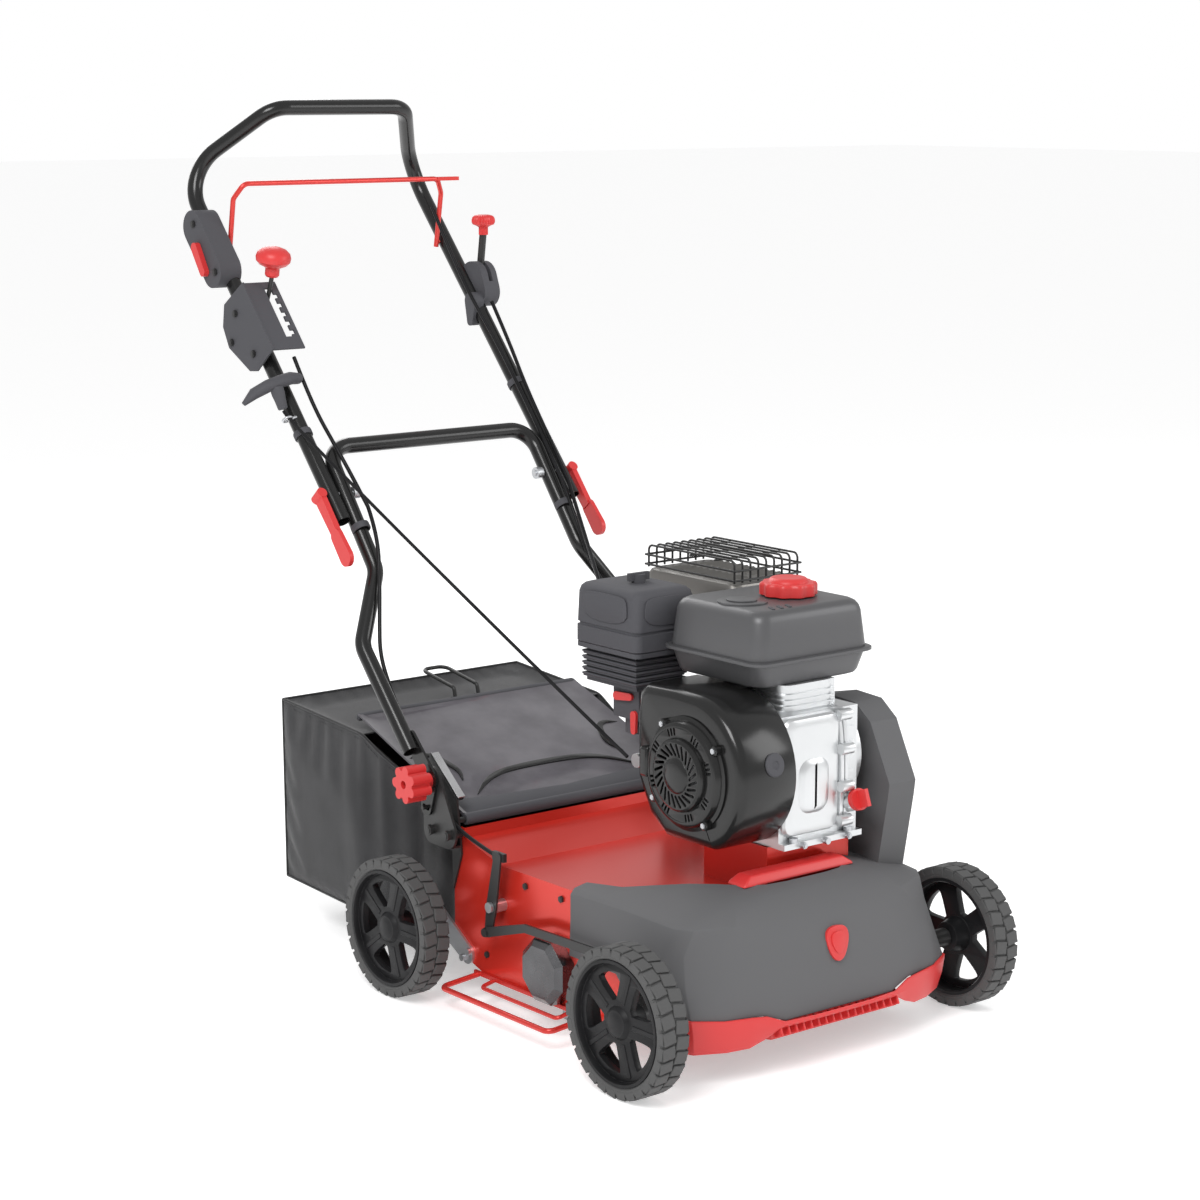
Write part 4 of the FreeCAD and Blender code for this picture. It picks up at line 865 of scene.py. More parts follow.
# ---- wheels -------------------------------------------------------------------------------------
@dataclass
class Wheel(Assembly):
    """One wheel: a block-tread tyre on a rim with five broad spokes."""

    name: str
    side: int
    outer_x: float
    axle_y: float
    radius: float = 100.0
    width: float = 44.0
    rim_radius: float = 83.0
    tread_depth: float = 3.5
    tread_count: int = 30
    spokes: int = 5

    def axis(self) -> Axis:
        """The wheel's own axis, pointing outwards."""
        return Axis((self.side * (self.outer_x - self.width / 2), self.axle_y, self.radius),
                    (self.side, 0.0, 0.0))

    def tyre(self) -> bpy.types.Object:
        """The tyre's carcass with its rolled shoulders.

        Returns:
            The carcass.
        """
        base, half = self.radius - self.tread_depth, self.width / 2
        profile = [(self.rim_radius, -half + 3), (self.rim_radius + 3, -half + 0.6), (base - 6, -half + 0.2),
                   (base - 2, -half + 1.5), (base, -half + 5), (base, half - 5), (base - 2, half - 1.5),
                   (base - 6, half - 0.2), (self.rim_radius + 3, half - 0.6), (self.rim_radius, half - 3)]
        return lathe(f"{self.name}.tyre", self.axis(), profile, 96, closed=True)

    def tread(self) -> list[Spot]:
        """Two rows of blocks, half a pitch apart, turned to a shallow arrow.

        Returns:
            The blocks' places.
        """
        axis, spots = self.axis(), []
        for row in (-1, 1):
            for k in range(self.tread_count):
                angle = 360.0 * (k + 0.25 * row) / self.tread_count
                middle = axis.place(self.radius - self.tread_depth / 2 - 0.9, angle, row * 10.6)
                out = Vector(axis.place(1.0, angle, 0.0)) - Vector(axis.middle)
                around = out.cross(Vector((self.side, 0, 0)))
                along = Vector((self.side, 0, 0)) + around * 0.16 * row
                spots.append(Spot(middle, tuple(out), tuple(along)))
        return spots

    def shoulder(self) -> list[Spot]:
        """Short lugs that carry the tread over the tyre's shoulders.

        Returns:
            The lugs' places.
        """
        axis, spots = self.axis(), []
        for row in (-1, 1):
            for k in range(self.tread_count):
                angle = 360.0 * (k + 0.25 * row) / self.tread_count
                middle = axis.place(self.radius - 7.0, angle, row * (self.width / 2 - 0.7))
                out = Vector(axis.place(1.0, angle, 0.0)) - Vector(axis.middle)
                spots.append(Spot(middle, (row * self.side, 0.0, 0.0), tuple(out)))
        return spots

    def opening(self, index: int) -> Flat:
        """The rounded opening between two spokes.

        Args:
            index: the opening's number round the wheel.

        Returns:
            The outline.
        """
        mid, loop = 360.0 / self.spokes * (index + 0.5), []
        for radius, half, turns in ((67.0, 22.5, range(-3, 4)), (30.0, 8.0, range(3, -4, -1))):
            loop += [(radius * math.cos(math.radians(mid + half * t / 3)),
                      radius * math.sin(math.radians(mid + half * t / 3))) for t in turns]
        return smoothed(loop, 2)

    def rim(self) -> bpy.types.Object:
        """Rim barrel, spoked disc, hub and cap.

        Returns:
            The rim.
        """
        axis, r = self.axis(), self.rim_radius
        barrel = lathe(f"{self.name}.barrel", axis,
                       [(r + 0.5, -19.5), (r + 1.5, 18), (r, 21.2), (r - 4, 21.2), (r - 6, 17),
                                                     (r - 6, -17), (r - 4, -20)], 96, closed=True)
        holes = [self.opening(k) for k in range(self.spokes)]
        disc = plate(f"{self.name}.disc", [circle(r - 5, 72)] + holes, 3.0, 13.0, axis.frame(), 1.6)
        hub = lathe(f"{self.name}.hub", axis,
                    [(0, 20.5), (12, 20.5), (15, 19), (17.5, 19), (20, 17), (23, 13), (26, 12.5),
                                               (26, 4), (20, -18), (10, -19), (10, -20), (0, -20)], 48)
        return joined(f"{self.name}.rim", [barrel, disc, hub])

    def ribs(self) -> list[Spot]:
        """A raised rib along the middle of each spoke.

        Returns:
            The ribs' places.
        """
        axis, spots = self.axis(), []
        for k in range(self.spokes):
            angle = 360.0 / self.spokes * k
            out = Vector(axis.place(1.0, angle, 0.0)) - Vector(axis.middle)
            spots.append(Spot(axis.place(50.0, angle, 13.2), (self.side, 0.0, 0.0), tuple(out)))
        return spots

    def build(self) -> None:
        """Adds the wheel's pieces."""
        self.add(self.tyre(), self.name, Palette.TYRE, self.name)
        self.add_slats(f"{self.name}.tread", self.name, Palette.TYRE, self.tread(), (19.6, 17.2, 4.6), 0.9)
        self.add_slats(f"{self.name}.lugs", self.name, Palette.TYRE, self.shoulder(), (10.0, 16.4, 1.8), 0.6)
        self.add(self.rim(), self.name, Palette.RIM)
        self.add_slats(f"{self.name}.ribs", self.name, Palette.RIM, self.ribs(), (44.0, 7.0, 1.8), 0.7)


# ---- engine -------------------------------------------------------------------------------------
@dataclass
class Engine(Assembly):
    """The engine's covers and small parts round its crankshaft."""

    crank_y: float = -165.0
    crank_z: float = 378.0
    blower_radius: float = 108.0
    blower_left: float = -115.0
    blower_right: float = -18.0
    recoil_radius: float = 72.0
    foot_z: float = 281.0
    slot_count: int = 24
    tank_x: tuple[float, float] = (-50.0, 172.0)
    tank_y: tuple[float, float] = (-230.0, -25.0)
    tank_low: float = 488.0
    tank_seam: float = 523.0
    tank_high: float = 592.0

    def side_axis(self, x: float) -> Axis:
        """The crankshaft's line, pointing out to the starter's side, from x."""
        return Axis((x, self.crank_y, self.crank_z), (-1.0, 0.0, 0.0))

    def blower_outline(self, inset: float) -> Flat:
        """The housing seen from the starter's side: round in front, squared up behind, chamfered below.

        Args:
            inset: how far the outline is drawn in.

        Returns:
            The outline in (y, z).
        """
        r, y, z = self.blower_radius - inset, self.crank_y, self.crank_z
        loop = [(y + r * math.cos(math.radians(a)), z + r * math.sin(math.radians(a))) for a in range(98,
                                                                                                      243, 6)]
        foot = self.foot_z + inset
        loop += [(y - 46, foot), (y + 46, foot), (y + 0.77 * r, z - 0.66 * r), (y + r + 1, z - 22),
                 (y + r + 2, z + 60),
                 (y + r - 3, z + 98 - inset), (y + r - 16, z + 107 - inset), (y + 30, z + 108.5 - inset)]
        return loop

    def blower(self) -> bpy.types.Object:
        """The housing over the flywheel: a rounded rim and an open middle for the starter.

        Returns:
            The housing.
        """
        x0, x1 = self.blower_left, self.blower_right
        steps = ((x1 - 1.0, 3.0), (x1, 1.0), (x1 - 2, 0.0), (x0 + 14, 0.0), (x0 + 8, 1.2), (x0 + 3.5, 4.0),
                 (x0 + 1.0, 8.5), (x0, 14.0))
        rings = [[(x, y, z) for y, z in self.blower_outline(inset)] for x, inset in steps]
        hole = [(x0,
                 self.crank_y + (self.recoil_radius + 2) * (y - self.crank_y) / math.dist((y, z),
                                                                                          (self.crank_y,
                                                                                           self.crank_z)),
                 self.crank_z + (self.recoil_radius + 2) * (z - self.crank_z) / math.dist((y, z),
                                                                                          (self.crank_y,
                                                                                           self.crank_z)))
                for y, z in self.blower_outline(14.0)]
        well = [(x0 + 6.0, y, z) for _, y, z in hole]
        return loft("blower_cover", rings + [hole, well], capped=False, crease=38.0)

    def recoil(self) -> bpy.types.Object:
        """The starter's cup: rolled rim, slotted face, raised slotted hub and rope boss.

        Returns:
            The cup.
        """
        axis, r = self.side_axis(self.blower_left), self.recoil_radius
        wall = lathe("wall", axis,
                     [(r + 6, 0.5), (r + 6, 2.5), (r + 1, 4), (r, 9), (r - 2, 12.5), (r - 5, 14),
                      (r - 8, 14.2),
                                    (r - 8, 11.5), (r - 5, 10), (r - 4, 0.5)], 96, closed=True)
        groups = [self.slot_of(k, 54.5, 62.0, 1.7, 0.0, 60) for k in range(60) if k % 15 in (2, 3, 4, 9, 10,
                                                                                             11)]
        ring = plate("ring", [circle(r - 7, 96), circle(48.0, 72)] + groups, 11.2, 13.8, axis.frame(), 0.5)
        slots = [self.slot_of(k, 28.5, 42.0, 1.9, 14.0, self.slot_count) for k in range(self.slot_count)]
        face = plate("face", [circle(46.0, 96)] + slots, 19.2, 21.6, axis.frame(), 0.6)
        shoulder = lathe("shoulder", axis,
                         [(50.5, 12), (50, 17), (48.5, 20), (45.5, 21.7), (44.8, 20), (47, 17), (48, 12)],
                         72, closed=True)
        dome = lathe("dome", axis,
                     [(0, 26.0), (8, 25.8), (16, 25.0), (21, 23.8), (24, 22.2), (25, 21.0), (0, 20.0)], 64)
        lugs = [lathe(f"lug_{a}", Axis(axis.place(r + 3, a, 0.5)),
                      [(0, -9), (5.5, -9), (7, -8), (7, 0), (0, 0)], 24)
                for a in (35, 125, 215, 305)]
        boss = [rounded_ring([(self.blower_left - 15 + g, self.blower_left)],
                             [(self.crank_y + r - 4, self.crank_y + r + 13 - g)], z, 4)
                for z,
                g in ((self.crank_z - 16, 2), (self.crank_z - 13, 0), (self.crank_z + 21, 0),
                      (self.crank_z + 24, 2))]
        return joined("recoil_cup", [wall, ring, face, shoulder, dome, loft("boss", boss)] + lugs)

    def slot_of(self, index: int, near: float, far: float, half: float, lean: float, count: int) -> Flat:
        """A radial slot with round ends.

        Args:
            index: which one round the ring.
            near: its inner end's radius.
            far: its outer end's radius.
            half: half of its width.
            lean: degrees that its outer end is turned on.
            count: slots in the whole ring.

        Returns:
            Its outline.
        """
        angle = math.radians(360.0 / count * index)
        swing = math.radians(lean)
        a = Vector((near * math.cos(angle), near * math.sin(angle)))
        b = Vector((far * math.cos(angle + swing), far * math.sin(angle + swing)))
        base = math.atan2((b - a).y, (b - a).x)
        loop = []
        for centre, start in ((a, 90), (b, -90)):
            for k in range(5):
                t = base + math.radians(start + 45 * k)
                loop.append((centre.x + half * math.cos(t), centre.y + half * math.sin(t)))
        return loop

    def tank_ring(self, z: float, inset: float, radius: float = 22.0) -> Ring:
        """The tank's outline at a height, drawn in by inset."""
        return rounded_ring([(self.tank_x[0] + inset, self.tank_x[1] - inset)],
                            [(self.tank_y[0] + inset, self.tank_y[1] - inset)], z, radius, 6)

    def tank(self) -> bpy.types.Object:
        """The pressed fuel tank: two shells, seam flange, stepped lid and filler neck.

        Returns:
            The tank.
        """
        seam, top, low = self.tank_seam, self.tank_high, self.tank_low
        shell = loft("shell", [self.tank_ring(z, g) for z, g in
                               ((low, 22), (low + 2, 17), (low + 6, 14.5), (seam - 3, 8), (seam + 3, 7),
                                (top - 16, 12), (top - 9, 14), (top - 4, 17.5), (top - 1.2, 22),
                                (top - 0.4, 27))])
        flange = loft("flange", [self.tank_ring(z, g, 24.0) for z, g in
                                 ((seam - 2.5, 1.2), (seam - 1.8, 0.2), (seam + 1.8, 0.2),
                                  (seam + 2.5, 1.2))])
        neck = lathe("neck", Axis((90, -135, top - 1.5), (0, 0, 1)),
                     [(27, 0), (26, 5), (24, 8), (20, 8), (20, 0)], 48)
        pad = [(-30, -132), (-18, -160), (10, -172), (34, -160), (34, -112), (10, -98), (-18, -106)]
        raised = plate("pad", [smoothed(pad, 2)], top - 1.5, top + 2.0, Matrix.Identity(4), 1.6)
        inner = [(0.62 * (u - 4) + 4, 0.62 * (v + 134) - 134) for u, v in smoothed(pad, 2)]
        crown = plate("crown", [inner], top + 1.8, top + 4.2, Matrix.Identity(4), 1.2)
        return joined("tank_body", [shell, flange, neck, raised, crown])

    def cap(self) -> bpy.types.Object:
        """The filler cap with its ten scallops and a sunken top.

        Returns:
            The cap.
        """
        loop = [((38.4 + 1.8 * math.cos(10 * a)) * math.cos(a), (38.4 + 1.8 * math.cos(10 * a)) * math.sin(a))
                for a in (2 * math.pi * k / 100 for k in range(100))]
        rings = []
        for scale, z in ((0.97, 593.0), (1.0, 594.0), (1.0, 606.0), (0.985, 608.5), (0.94, 610.5),
                         (0.80, 611.0),
                         (0.74, 611.2), (0.70, 614.0), (0.62, 616.4), (0.52, 617.0), (0.30, 616.2),
                         (0.02, 616.0)):
            blend = 1.0 if scale > 0.9 else 0.0
            rings.append([(90 + scale * (u if blend else 38.4 * u / math.hypot(u, v)),
                           -135 + scale * (v if blend else 38.4 * v / math.hypot(u, v)), z) for u, v in loop])
        return loft("cap_body", rings)

    def filter_box(self) -> bpy.types.Object:
        """The air filter's cover: stepped sides, shallow lid and a pressed panel on its side.

        Returns:
            The cover.
        """
        x, y = [(-85, 25)], [(-21, 117)]

        def ring(z: float, g: float) -> Ring:
            """The box's outline at a height, drawn in by g."""
            return rounded_ring([(x[0][0] + g, x[0][1] - g)], [(y[0][0] + g, y[0][1] - g)], z, 12)

        body = loft("body", [ring(z, g) for z, g in ((512, 1.5), (513.5, 0), (536, 0), (537, 2.5), (540, 2.5),
                                                     (541, 0.5), (584, 2), (591, 4), (595, 8), (597, 14))])
        panel = plate("panel",
                      [smoothed([(0, 548), (96, 548), (96, 582), (84, 588), (12, 588), (0, 582)], 2)], 84.2,
                      86.0,
                      Matrix(((0, 0, -1, 0), (1, 0, 0, 0), (0, 1, 0, 0), (0, 0, 0, 1))), 0.8)
        front = plate("front",
                      [smoothed([(-70, 548), (10, 548), (10, 582), (0, 588), (-60, 588), (-70, 582)], 2)],
                      20.0, 22.0, Matrix(((1, 0, 0, 0), (0, 0, -1, 0), (0, 1, 0, 0), (0, 0, 0, 1))), 0.8)
        return joined("filter_box", [body, panel, front])

    def muffler_box(self) -> bpy.types.Object:
        """The muffler's pressed shell with its seam.

        Returns:
            The shell with its pipe and spout.
        """
        def ring(z: float, g: float) -> Ring:
            """The shell's outline at a height, drawn in by g."""
            return rounded_ring([(98 + g, 230 - g)], [(-14 + g, 186 - g)], z, 16)

        shell = loft("shell",
                     [ring(z, g) for z,
                      g in ((512, 9), (514, 4), (518, 1.5), (547, 1.0), (548, -0.8), (552, -0.8),
                                                       (553, 1.0), (580, 1.5), (585, 4), (587.6, 10))])
        pipe = cord_mesh("pipe", [(110, 40, 400), (122, 40, 450), (126, 48, 480), (130, 60, 514)], 14)
        spout = lathe("spout", Axis((170, 184, 540), (0, 1, 0)), [(11, 0), (11, 26), (9, 26), (9, 0)], 32)
        return joined("muffler_box", [shell, pipe, spout])

    def casing(self) -> bpy.types.Object:
        """The crankcase's cast front, its side cover with bolt bosses, and the barrel under the tank.

        Returns:
            The casting.
        """
        def front_ring(y: float, g: float) -> Ring:
            """The cast front's outline at a depth, drawn in by g."""
            flat = rounded_ring([(-16.0 + g, 84.0 - g)], [(288.0 + g, 450.0 - g)], 0.0, 14)
            return [(u, y, v) for u, v, _ in flat][::-1]

        front = loft("front",
                     [front_ring(y, g) for y,
                      g in ((-236, 0), (-243, 0), (-247, 2.5), (-249, 8), (-249.4, 14))])
        boss = loft("boss",
                    [[(u, y, v) for u, v,
                      _ in rounded_ring([(8 + g, 62 - g)], [(318 + g, 392 - g)], 0.0, 20)][::-1]
                             for y, g in ((-246, -4), (-250, 0), (-253, 4), (-254, 9))])
        outline = [(-250, 300), (-252, 372), (-246, 440), (-232, 456), (-100, 456), (-92, 440), (-92, 290),
                   (-238, 284)]
        across = Matrix(((0, 0, 1, 0), (1, 0, 0, 0), (0, 1, 0, 0), (0, 0, 0, 1)))
        cover = [plate(f"cover_{k}",
                       [smoothed([(u * m - 170 * (m - 1), v * m - 370 * (m - 1)) for u, v in outline], 2)],
                       low, high, across, 1.6) for k,
                       (low, high, m) in enumerate(((84, 90, 1.0), (91.5, 98, 1.0), (97, 118, 0.95)))]
        lugs = [lathe(f"lug_{k}", Axis((80.0, y, z), (1.0, 0.0, 0.0)),
                      [(0, 0), (7.5, 0), (8, 1), (8, 21), (7, 22), (0, 22)], 24)
                for k, (y, z) in enumerate(((-251, 298), (-253, 346), (-253, 398), (-247, 444), (-206, 457)))]
        barrel = loft("barrel", [rounded_ring([(4 - g, 100 + g)], [(-222 - g, -110 + g)], z, 18)
                                 for z,
                                 g in ((448, 4), (452, 4), (454, 0), (458, 0), (459, 3), (461, 3), (462, 0),
                                       (466, 0), (467, 3),
                                              (469, 3), (470, 0), (474, 0), (475, 3), (477, 3), (478, 0),
                                              (489, 0))])
        return joined("crankcase_casting", [front, boss, barrel] + cover + lugs)

    def small_parts(self) -> None:
        """Bolts, fins, louvres and the plug that break up the engine's faces."""
        front = (0.0, -1.0, 0.0)
        left = (-1.0, 0.0, 0.0)
        self.add_studs("case_bolts", "deck", Palette.ZINC,
                       [Spot((x, -240.0, z), front) for x, z in ((-6, 300), (-6, 438), (74, 300), (74, 438))]
                       + [Spot((x, -252.0, 276), front) for x in (14, 96)], 4.6, 10.5)
        self.add(self.casing(), "deck", Palette.CASTING)
        self.add_slats("muffler_louvres", "deck", Palette.MUFFLER_STEEL,
                       [Spot((x, y, 588.4), (0.0, -0.5, 1.0)) for x in (132, 196) for y in range(20, 160,
                                                                                                 14)],
                       (44.0, 6.0, 1.4), 0.5)
        axis = self.side_axis(self.blower_left)
        self.add_studs("recoil_screws", "deck", Palette.ZINC,
                       [Spot(axis.place(75.0, a, 10.0), left) for a in (35, 125, 215, 305)], 4.0, 3.0)
        out = Vector((0.0, -math.cos(math.radians(12)), math.sin(math.radians(12))))
        base = Vector((-56.0, self.crank_y, self.crank_z)) + out * (self.blower_radius - 2)
        plug = lathe("blower_plug", Axis(tuple(base), tuple(out)),
                     [(16, 0), (16, 3.5), (14.5, 4.8), (6, 5.2), (5, 4.0), (0, 4.0)], 40)
        self.add(plug, "deck", Palette.BLACK_PLASTIC)
        ribs = [Spot((-31.0, 49.0, z), (0, 0, 1)) for z in (466, 474, 482, 490, 498)]
        self.add_slats("elbow_ribs", "deck", Palette.BLACK_PLASTIC, ribs, (94.0, 120.0, 3.2), 1.2)
        self.add_slats("tank_grooves", "deck", Palette.BLACK_PLASTIC,
                       [Spot((4.0 + 15 * k, -196.0, 592.0), (0, 0, 1), (0.4, 1, 0)) for k in range(3)],
                       (17.0, 5.0, 1.6), 0.7)

    def build(self) -> None:
        """Adds the engine's pieces."""
        self.add(self.blower(), "deck", Palette.GLOSS_BLACK, "blower_housing")
        self.add(self.recoil(), "deck", Palette.GLOSS_BLACK, "recoil_cover")
        self.add(self.tank(), "deck", Palette.TANK_GREY, "fuel_tank")
        self.add(self.cap(), "tank_cap", Palette.RED_PLASTIC, "tank_cap")
        self.add(self.filter_box(), "deck", Palette.BLACK_PLASTIC, "air_filter_cover")
        self.add(self.muffler_box(), "deck", Palette.MUFFLER_STEEL, "muffler")
        self.small_parts()


# ---- bag and flap -------------------------------------------------------------------------------
@dataclass
class Bag(Assembly):
    """The collecting bag: sewn fabric panels that sag between their piped seams."""

    wall: float = 1.8
    settle_frames: int = 14
    most_sag: float = 9.0

    def outline(self, t: float) -> tuple[float, float, float, float, float, float]:
        """Half widths below and above, and the y and z of floor and rim, at t from mouth to rear.

        Args:
            t: how far from the mouth (0) to the rear (1).

        Returns:
            Half width below and above, floor y, rim y, floor z and rim z.
        """
        rows = [(0.0, 197.0, 199.0, 246.0, 246.0, 83.0, 245.0),
                (0.2, 200.0, 202.0, 330.0, 330.0, 63.0, 277.0),
                (0.38, 214.0, 221.0, 400.0, 400.0, 58.0, 313.0),
                (0.5, 216.0, 224.0, 446.0, 446.0, 58.0, 337.0),
                (0.62, 208.0, 224.0, 500.0, 498.0, 58.0, 341.0),
                (1.0, 201.0, 224.0, 693.0, 660.0, 63.0, 353.0)]
        for a, b in zip(rows, rows[1:]):
            if t <= b[0]:
                s = (t - a[0]) / (b[0] - a[0])
                return tuple(p + (q - p) * s for p, q in zip(a[1:], b[1:]))
        return rows[-1][1:]

    def panels(self) -> tuple[bpy.types.Object, list[int]]:
        """The bag's skin as one grid of panels, and the corners that its frame and seams hold.

        Returns:
            The grid, and the numbers of its held corners.
        """
        corners, faces, held = [], [], []
        index: dict[tuple[int, int, int], int] = {}

        def corner(place: Place, fixed: bool) -> int:
            """The number of the corner at place, shared between panels.

            Args:
                place: where it is.
                fixed: whether the frame or a seam holds it.

            Returns:
                The corner's number.
            """
            key = tuple(round(c * 4) for c in place)
            if key not in index:
                index[key] = len(corners)
                corners.append(place)
            if fixed and index[key] not in held:
                held.append(index[key])
            return index[key]

        def grid(rows: int, columns: int, at: Callable[[float, float], Place]) -> None:
            """A panel of rows by columns; its border is sewn and so held.

            Args:
                rows: how many rows it has.
                columns: how many columns it has.
                at: gives a place from two shares of 0 to 1.
            """
            ids = [[corner(at(r / rows, c / columns),
                           r in (0, rows) or c in (0, columns)) for c in range(columns + 1)]
                   for r in range(rows + 1)]
            for r in range(rows):
                for c in range(columns):
                    faces.append((ids[r][c], ids[r + 1][c], ids[r + 1][c + 1], ids[r][c + 1]))

        def wall(side: int) -> Callable[[float, float], Place]:
            """A side panel, from floor to rim.

            Args:
                side: -1 or 1, the side of the machine.

            Returns:
                A function that gives its places.
            """
            def at(t: float, h: float) -> Place:
                """The place at t along and h up."""
                low, high, y0, y1, z0, z1 = self.outline(t)
                return (side * (low + (high - low) * h), y0 + (y1 - y0) * h, z0 + (z1 - z0) * h)
            return at

        def level(h: float) -> Callable[[float, float], Place]:
            """The floor (h 0) or the top (h 1) panel.

            Args:
                h: 0 for the floor, 1 for the top.

            Returns:
                A function that gives its places.
            """
            def at(t: float, across: float) -> Place:
                """The place on the panel.

                Args:
                    t: the share from mouth to rear.
                    across: the share across.

                Returns:
                    The place.
                """
                low, high, y0, y1, z0, z1 = self.outline(t)
                w = low if h == 0 else high
                return (w * (2 * across - 1), y1 if h else y0, z1 if h else z0)
            return at

        def rear(across: float, h: float) -> Place:
            """The rear panel.

            Args:
                across: the share across.
                h: the share up.

            Returns:
                The place.
            """
            low, high, y0, y1, z0, z1 = self.outline(1.0)
            w = low + (high - low) * h
            return (w * (2 * across - 1), y0 + (y1 - y0) * h, z0 + (z1 - z0) * h)

        long, wide, tall = 50, 44, 30
        grid(long, tall, wall(-1))
        grid(long, tall, wall(1))
        grid(long, wide, level(0.0))
        top = level(1.0)
        grid(long // 2, wide, lambda t, across: top(0.5 + 0.5 * t, across))
        grid(wide, tall, rear)
        return piece_of("bag_skin", corners, faces, 180.0, tidy=False), held

    def settle(self, skin: bpy.types.Object, held: list[int]) -> None:
        """Lets the panels sag as cloth between their held seams.

        Args:
            skin: the panels.
            held: corners that don't move.
        """
        scene, start = bpy.context.scene, [v.co.copy() for v in skin.data.vertices]
        group = skin.vertex_groups.new(name="held")
        group.add(held, 1.0, "REPLACE")
        cloth = skin.modifiers.new("settle", "CLOTH")
        cloth.settings.vertex_group_mass = "held"
        cloth.settings.quality = 5
        cloth.settings.mass = 0.35
        cloth.settings.bending_stiffness = 6.0
        cloth.settings.tension_stiffness = cloth.settings.compression_stiffness = 12.0
        cloth.settings.shrink_min = -0.012
        cloth.settings.time_scale = 0.7
        cloth.point_cache.frame_start, cloth.point_cache.frame_end = 1, self.settle_frames
        for frame_number in range(1, self.settle_frames + 1):
            scene.frame_set(frame_number)
        graph = bpy.context.evaluated_depsgraph_get()
        sagged = [v.co.copy() for v in skin.evaluated_get(graph).data.vertices]
        skin.modifiers.clear()
        skin.vertex_groups.clear()
        scene.frame_set(1)
        for vertex, before, after in zip(skin.data.vertices, start, sagged):
            shift = after - before
            shift.z = min(shift.z, 0.002)
            limit = self.most_sag * MM
            vertex.co = before + (shift if shift.length < limit else shift * (limit / shift.length))

    def skin(self) -> bpy.types.Object:
        """The finished fabric: settled panels with their thickness.

        Returns:
            The fabric.
        """
        skin, held = self.panels()
        work = bmesh.new()
        work.from_mesh(skin.data)
        bmesh.ops.recalc_face_normals(work, faces=work.faces)
        work.to_mesh(skin.data)
        work.free()
        self.settle(skin, held)
        shell = skin.modifiers.new("thickness", "SOLIDIFY")
        shell.thickness, shell.offset = self.wall * MM, -1.0
        return settled(skin, 50.0)

    def seam_lines(self) -> dict[str, list[Place]]:
        """Where two panels meet, as lines of places.

        Returns:
            Each seam's line, by name.
        """
        ts = [k / 20 for k in range(21)]
        lines: dict[str, list[Place]] = {}
        for side, label in ((-1, "right"), (1, "left")):
            lines[f"{label}_rim"] = [(side * self.outline(t)[1], self.outline(t)[3],
                                      self.outline(t)[5]) for t in ts]
            lines[f"{label}_foot"] = [(side * self.outline(t)[0], self.outline(t)[2],
                                       self.outline(t)[4]) for t in ts]
        low, high, y0, y1, z0, z1 = self.outline(1.0)
        lines["rear_rim"] = [(-high, y1, z1), (-high / 2, y1, z1), (high / 2, y1, z1), (high, y1, z1)]
        lines["rear_foot"] = [(-low, y0, z0), (-low / 2, y0, z0), (low / 2, y0, z0), (low, y0, z0)]
        for side, label in ((-1, "right"), (1, "left")):
            lines[f"{label}_rear"] = [(side * low, y0, z0),
                                      (side * (low + high) / 2, (y0 + y1) / 2, (z0 + z1) / 2),
                                      (side * high, y1, z1)]
        return lines

    def stitches(self, lines: dict[str, list[Place]]) -> list[Spot]:
        """Short stitches a little inside each side rim.

        Args:
            lines: the seams, by name.

        Returns:
            The stitches' places.
        """
        spots = []
        for label, side in (("right_rim", -1), ("left_rim", 1)):
            line = [Vector(p) for p in lines[label]]
            for a, b in zip(line, line[1:]):
                count = max(1, int((b - a).length / 6.0))
                for k in range(count):
                    middle = a.lerp(b, (k + 0.5) / count) + Vector((side * 0.2, 0, -9.0))
                    spots.append(Spot(tuple(middle), (side, 0.0, 0.0), tuple(b - a)))
        return spots

    def build(self) -> None:
        """Adds the bag's fabric, piping, stitches and handle tabs."""
        self.add(self.skin(), "bag", Palette.FABRIC, "bag")
        lines = self.seam_lines()
        piping = [cord_mesh(f"pipe_{label}", line, 2.2) for label, line in lines.items()]
        self.add(joined("bag_piping", piping), "bag", Palette.PIPING)
        self.add_slats("bag_stitches", "bag", Palette.SHEATH, self.stitches(lines), (3.4, 0.8, 0.6))
        tabs = [loft(f"tab_{k}", [rounded_ring([(x - 9, x + 9)], [(509, 531)], z, 2.5, 3)
                                  for z in (342.2, 346.8)]) for k, x in enumerate((0, 44))]
        self.add(joined("handle_tabs", tabs), "bag", Palette.PIPING)


